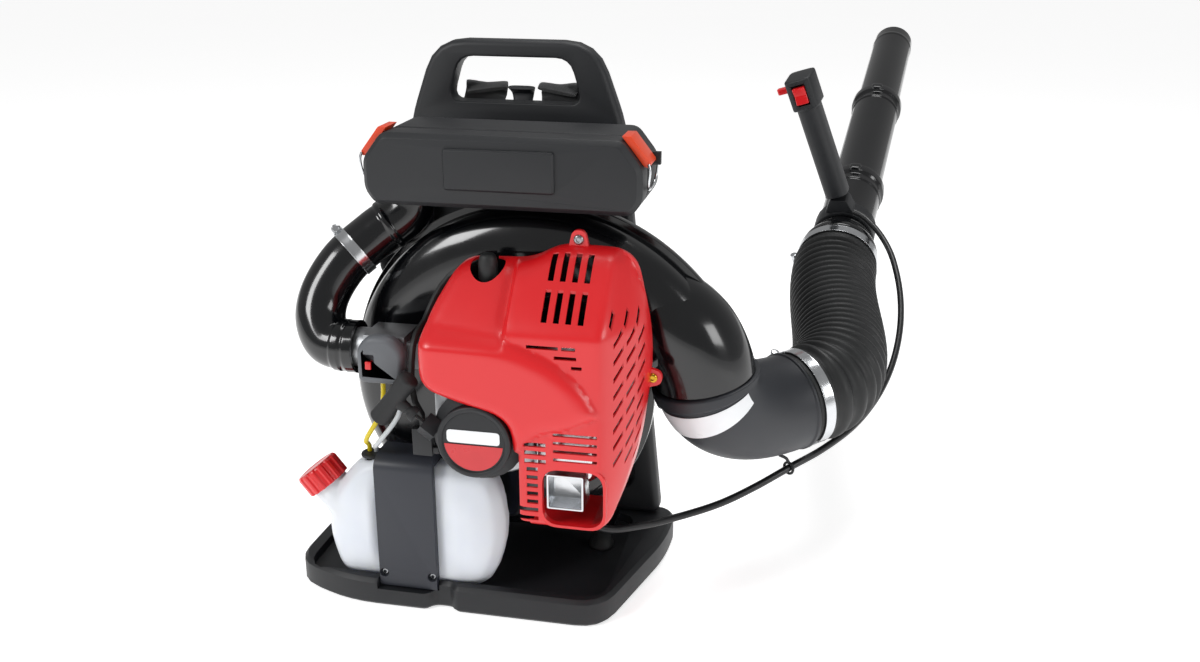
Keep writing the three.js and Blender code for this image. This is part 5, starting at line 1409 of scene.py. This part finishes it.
    def straps(self) -> None:
        """Each strap: a quilted pad, webbing below it, the buckle between them and a loop at the top."""
        for side, name in ((-1, "left"), (1, "right")):
            x, y = self.middle_x + side * 58, 144.3
            path = [(x, 115, 470), (x, y - 14, 478), (x, y + 8, 473), (x + side * 2, y + 30, 448),
                    (x + side * 6, y + 44, 400), (x + side * 14, y + 40, 320), (x + side * 26, y + 26, 230),
                    (x + side * 38, y + 12, 150), (x + side * 45, y - 2, 104), (x + side * 46, y - 16, 88),
                    (x + side * 46, 114, 82)]
            pad = self.band(f"strap_pad_{name}", path[:7],
                            (34, 42, 50, 55, 55, 54, 34), (6, 8, 10, 11.5, 11.5, 11, 7))
            co = coords(pad)
            z = co[:, 2] / MM
            co[:, 1] -= 1.8 * MM * sum(np.exp(-((z - at) / 3.5) ** 2) for at in self.stitches)
            set_coords(pad, co)
            dress(pad, MESH_CLOTH, Body.PACK, f"shoulder_strap_{name}")
            self.webbing(f"strap_webbing_{name}", path[6:], (27, 27, 27), (2.6, 2.6, 2.6))
            self.buckle(f"buckle_{name}", vec(x + side * 27, y + 25, 222))
            loop = [(self.middle_x + side * out, *rest) for out, *rest in (
                (46, 114, 470), (44, 122, 488), (42, 127, 500), (40, 124, 507), (38, 117, 502))]
            self.webbing(f"yoke_loop_{name}", loop, (46, 46, 44), (5, 6, 5))

    def build(self) -> None:
        """Makes the pad, the straps and the loops."""
        self.pad()
        self.straps()
        hook = [(13, 114, 478), (13, 121, 488), (13, 123, 500), (13, 117, 506)]
        dress(self.band("yoke_hook", hook, (16, 22, 30), (6, 7, 5)), MOULDED, Body.PACK)


# ---------------------------------------------------------------- fasteners, bails and clips
@dataclass
class Fitting:
    """A screw with a domed head and a driver recess."""

    name: str
    at: tuple[float, float, float]
    out: tuple[float, float, float]
    radius: float
    finish: Finish
    socket: bool = True

    def build(self) -> None:
        """Turns the head, and sinks a hexagon socket or a slot into it."""
        r = self.radius
        head = [[0, -3], [r, -3], [r, -0.5], [r * 0.93, 0.8], [r * 0.7, 1.8], [0, 2.3]]
        screw = turned(self.name, rounded(head, 0.5), vec(*self.at), self.out, 40)
        if self.socket:
            recess = [[0, 0.4], [r * 0.48, 0.4], [r * 0.48, 6], [0, 6]]
            tool = turned("hexagon", recess, vec(*self.at), self.out, 6)
        else:
            recess = [[0, 1.0], [r * 2, 1.0], [r * 2, 6], [0, 6]]
            tool = turned("slot", recess, vec(*self.at), self.out, 4)
            co = coords(tool) - vec(*self.at)
            side = unit(np.cross(self.out, [1.0, 0.2, 0.3]))
            co -= np.outer(co @ side, side) * 0.88
            set_coords(tool, co + vec(*self.at))
        carve(screw, tool)
        smooth(screw, 35)
        dress(screw, self.finish, Body.PACK, slot="steel")


def wire(name: str, points: Rows, radius: float, finish: Finish, slot: str = "steel") -> None:
    """A bent round wire on the pack, through points in millimetres."""
    line = catmull(np.asarray(points, float) * MM, 10)
    dress(swept(name, line, np.full(len(line), radius * MM), sides=14), finish, Body.PACK, slot=slot)


def fit_hardware() -> None:
    """Sets the screws, the latches' wire bails, the cable's clip and the frame's cord hook."""
    for name, at, out, radius, finish, socket in (
            ("cover_screw_brass", (150, -112, 352), (0.35, -0.68, 0.64), 5.2, BRASS, False),
            ("cover_bolt_top", (118, -72.5, 395), FORWARDS, 5.0, STEEL, True),
            ("cover_bolt_side", (190, -72.5, 262), FORWARDS, 5.0, BRASS, True),
            ("strap_bolt_left", (-83, -102.5, 36), FORWARDS, 4.3, STEEL, True),
            ("strap_bolt_right", (-31, -102.5, 36), FORWARDS, 4.3, STEEL, True)):
        Fitting(name, at, out, radius, finish, socket).build()
    for side, name in ((-1, "bail_left"), (1, "bail_right")):
        x = 41 + side * 141
        bail = ((-1.0, -57.5, 466), (0.5, -58.5, 460), (-1.0, -57, 447), (-2.0, -50, 441),
                (-2.0, -22, 441), (-1.0, -15, 447), (0.5, -13.5, 460), (-1.0, -14.5, 466))
        wire(name, [(x + side * out, y, z) for out, y, z in bail], 1.3, BAND)
    turn = np.linspace(0, math.tau, 25)
    round_way = np.stack([0.8 * np.cos(turn), -0.6 * np.cos(turn), np.sin(turn)], 1)
    ring = np.array([318, 62, 116]) + 6.2 * round_way
    wire("cable_clip", ring, 1.5, MOULDED, "dark_plastic")
    wire("cable_clip_stem", [(318, 62, 122), (315, 60, 128), (308, 56, 133)], 1.7, MOULDED, "dark_plastic")
    hook = [(168, 96, 176), (178, 94, 176), (183, 93, 170), (180, 92, 163), (172, 92, 162), (168, 93, 168)]
    wire("frame_hook", hook, 1.8, BAND)


def fit_spark_boot() -> None:
    """Turns the spark plug's rubber boot and the hexagon that it sits on."""
    profile = [[0, 0], [7.2, 0], [7.6, 2], [7.2, 4], [8.6, 5], [9.4, 8], [9.4, 26], [8.2, 32], [6.5, 35],
               [0, 36]]
    boot = turned("spark_boot", rounded(profile, 1.4), vec(32, -82, 344), UP, 60)
    dress(boot, RUBBER, Body.PACK, slot="rubber")
    profile = [[9.6, 0], [12.0, 0], [12.0, 5], [9.6, 6.5], [9.6, 0]]
    seat = turned("spark_boot_seat", rounded(profile, 0.5), vec(32, -82, 338), UP, 6)
    dress(seat, BAND, Body.PACK, slot="steel")


def ease_the_rest() -> None:
    """Rounds the edges of every solid that nothing has replaced yet."""
    widths = {"base_tray": 3.0, "back_frame": 4.0, "air_cleaner_cover": 2.6, "air_cleaner_case": 2.2,
              "control_grip": 1.3, "carb_cover": 2.2, "tank_strap": 2.4, "handle_bracket": 1.6,
              "latch_left": 1.4, "latch_right": 1.4, "muffler": 1.6}
    finishes = {"tank_strap": SLATE, "throttle_trigger": GLOSS, "control_grip": MOULDED}
    replaced = {node for node, solid in frame["nodes"].items() if solid.hide_render}
    for node in frame["nodes"]:
        if node not in replaced:
            eased(node, widths.get(node, 0.8), finishes.get(node))
    LOG.info("eased the rest")


def main() -> None:
    logging.basicConfig(level=logging.INFO, format="%(name)s: %(message)s")
    studio = Studio()
    studio.set_camera()
    ThrottleCable().build()
    studio.lay_floor()
    studio.light()
    Bellows().build()
    Elbow().build()
    BlowerPipes().build()
    EngineCover().build()
    FuelTank().build()
    Starter().build()
    Intake().build()
    FanScroll().build()
    WormClamp("clamp_lower", "hose_clamp_lower", 51.4, ELBOW_END + ELBOW_WAY * 6 * MM, ELBOW_WAY,
              Body.PACK, 200).build()
    WormClamp("clamp_upper", "hose_clamp_upper", 51.4, PIPE_START - PIPE_WAY * 18 * MM, PIPE_WAY,
              Body.TUBE, 150).build()
    Harness().build()
    fit_hardware()
    ease_the_rest()
    fit_spark_boot()


if __name__ == "__main__":
    main()
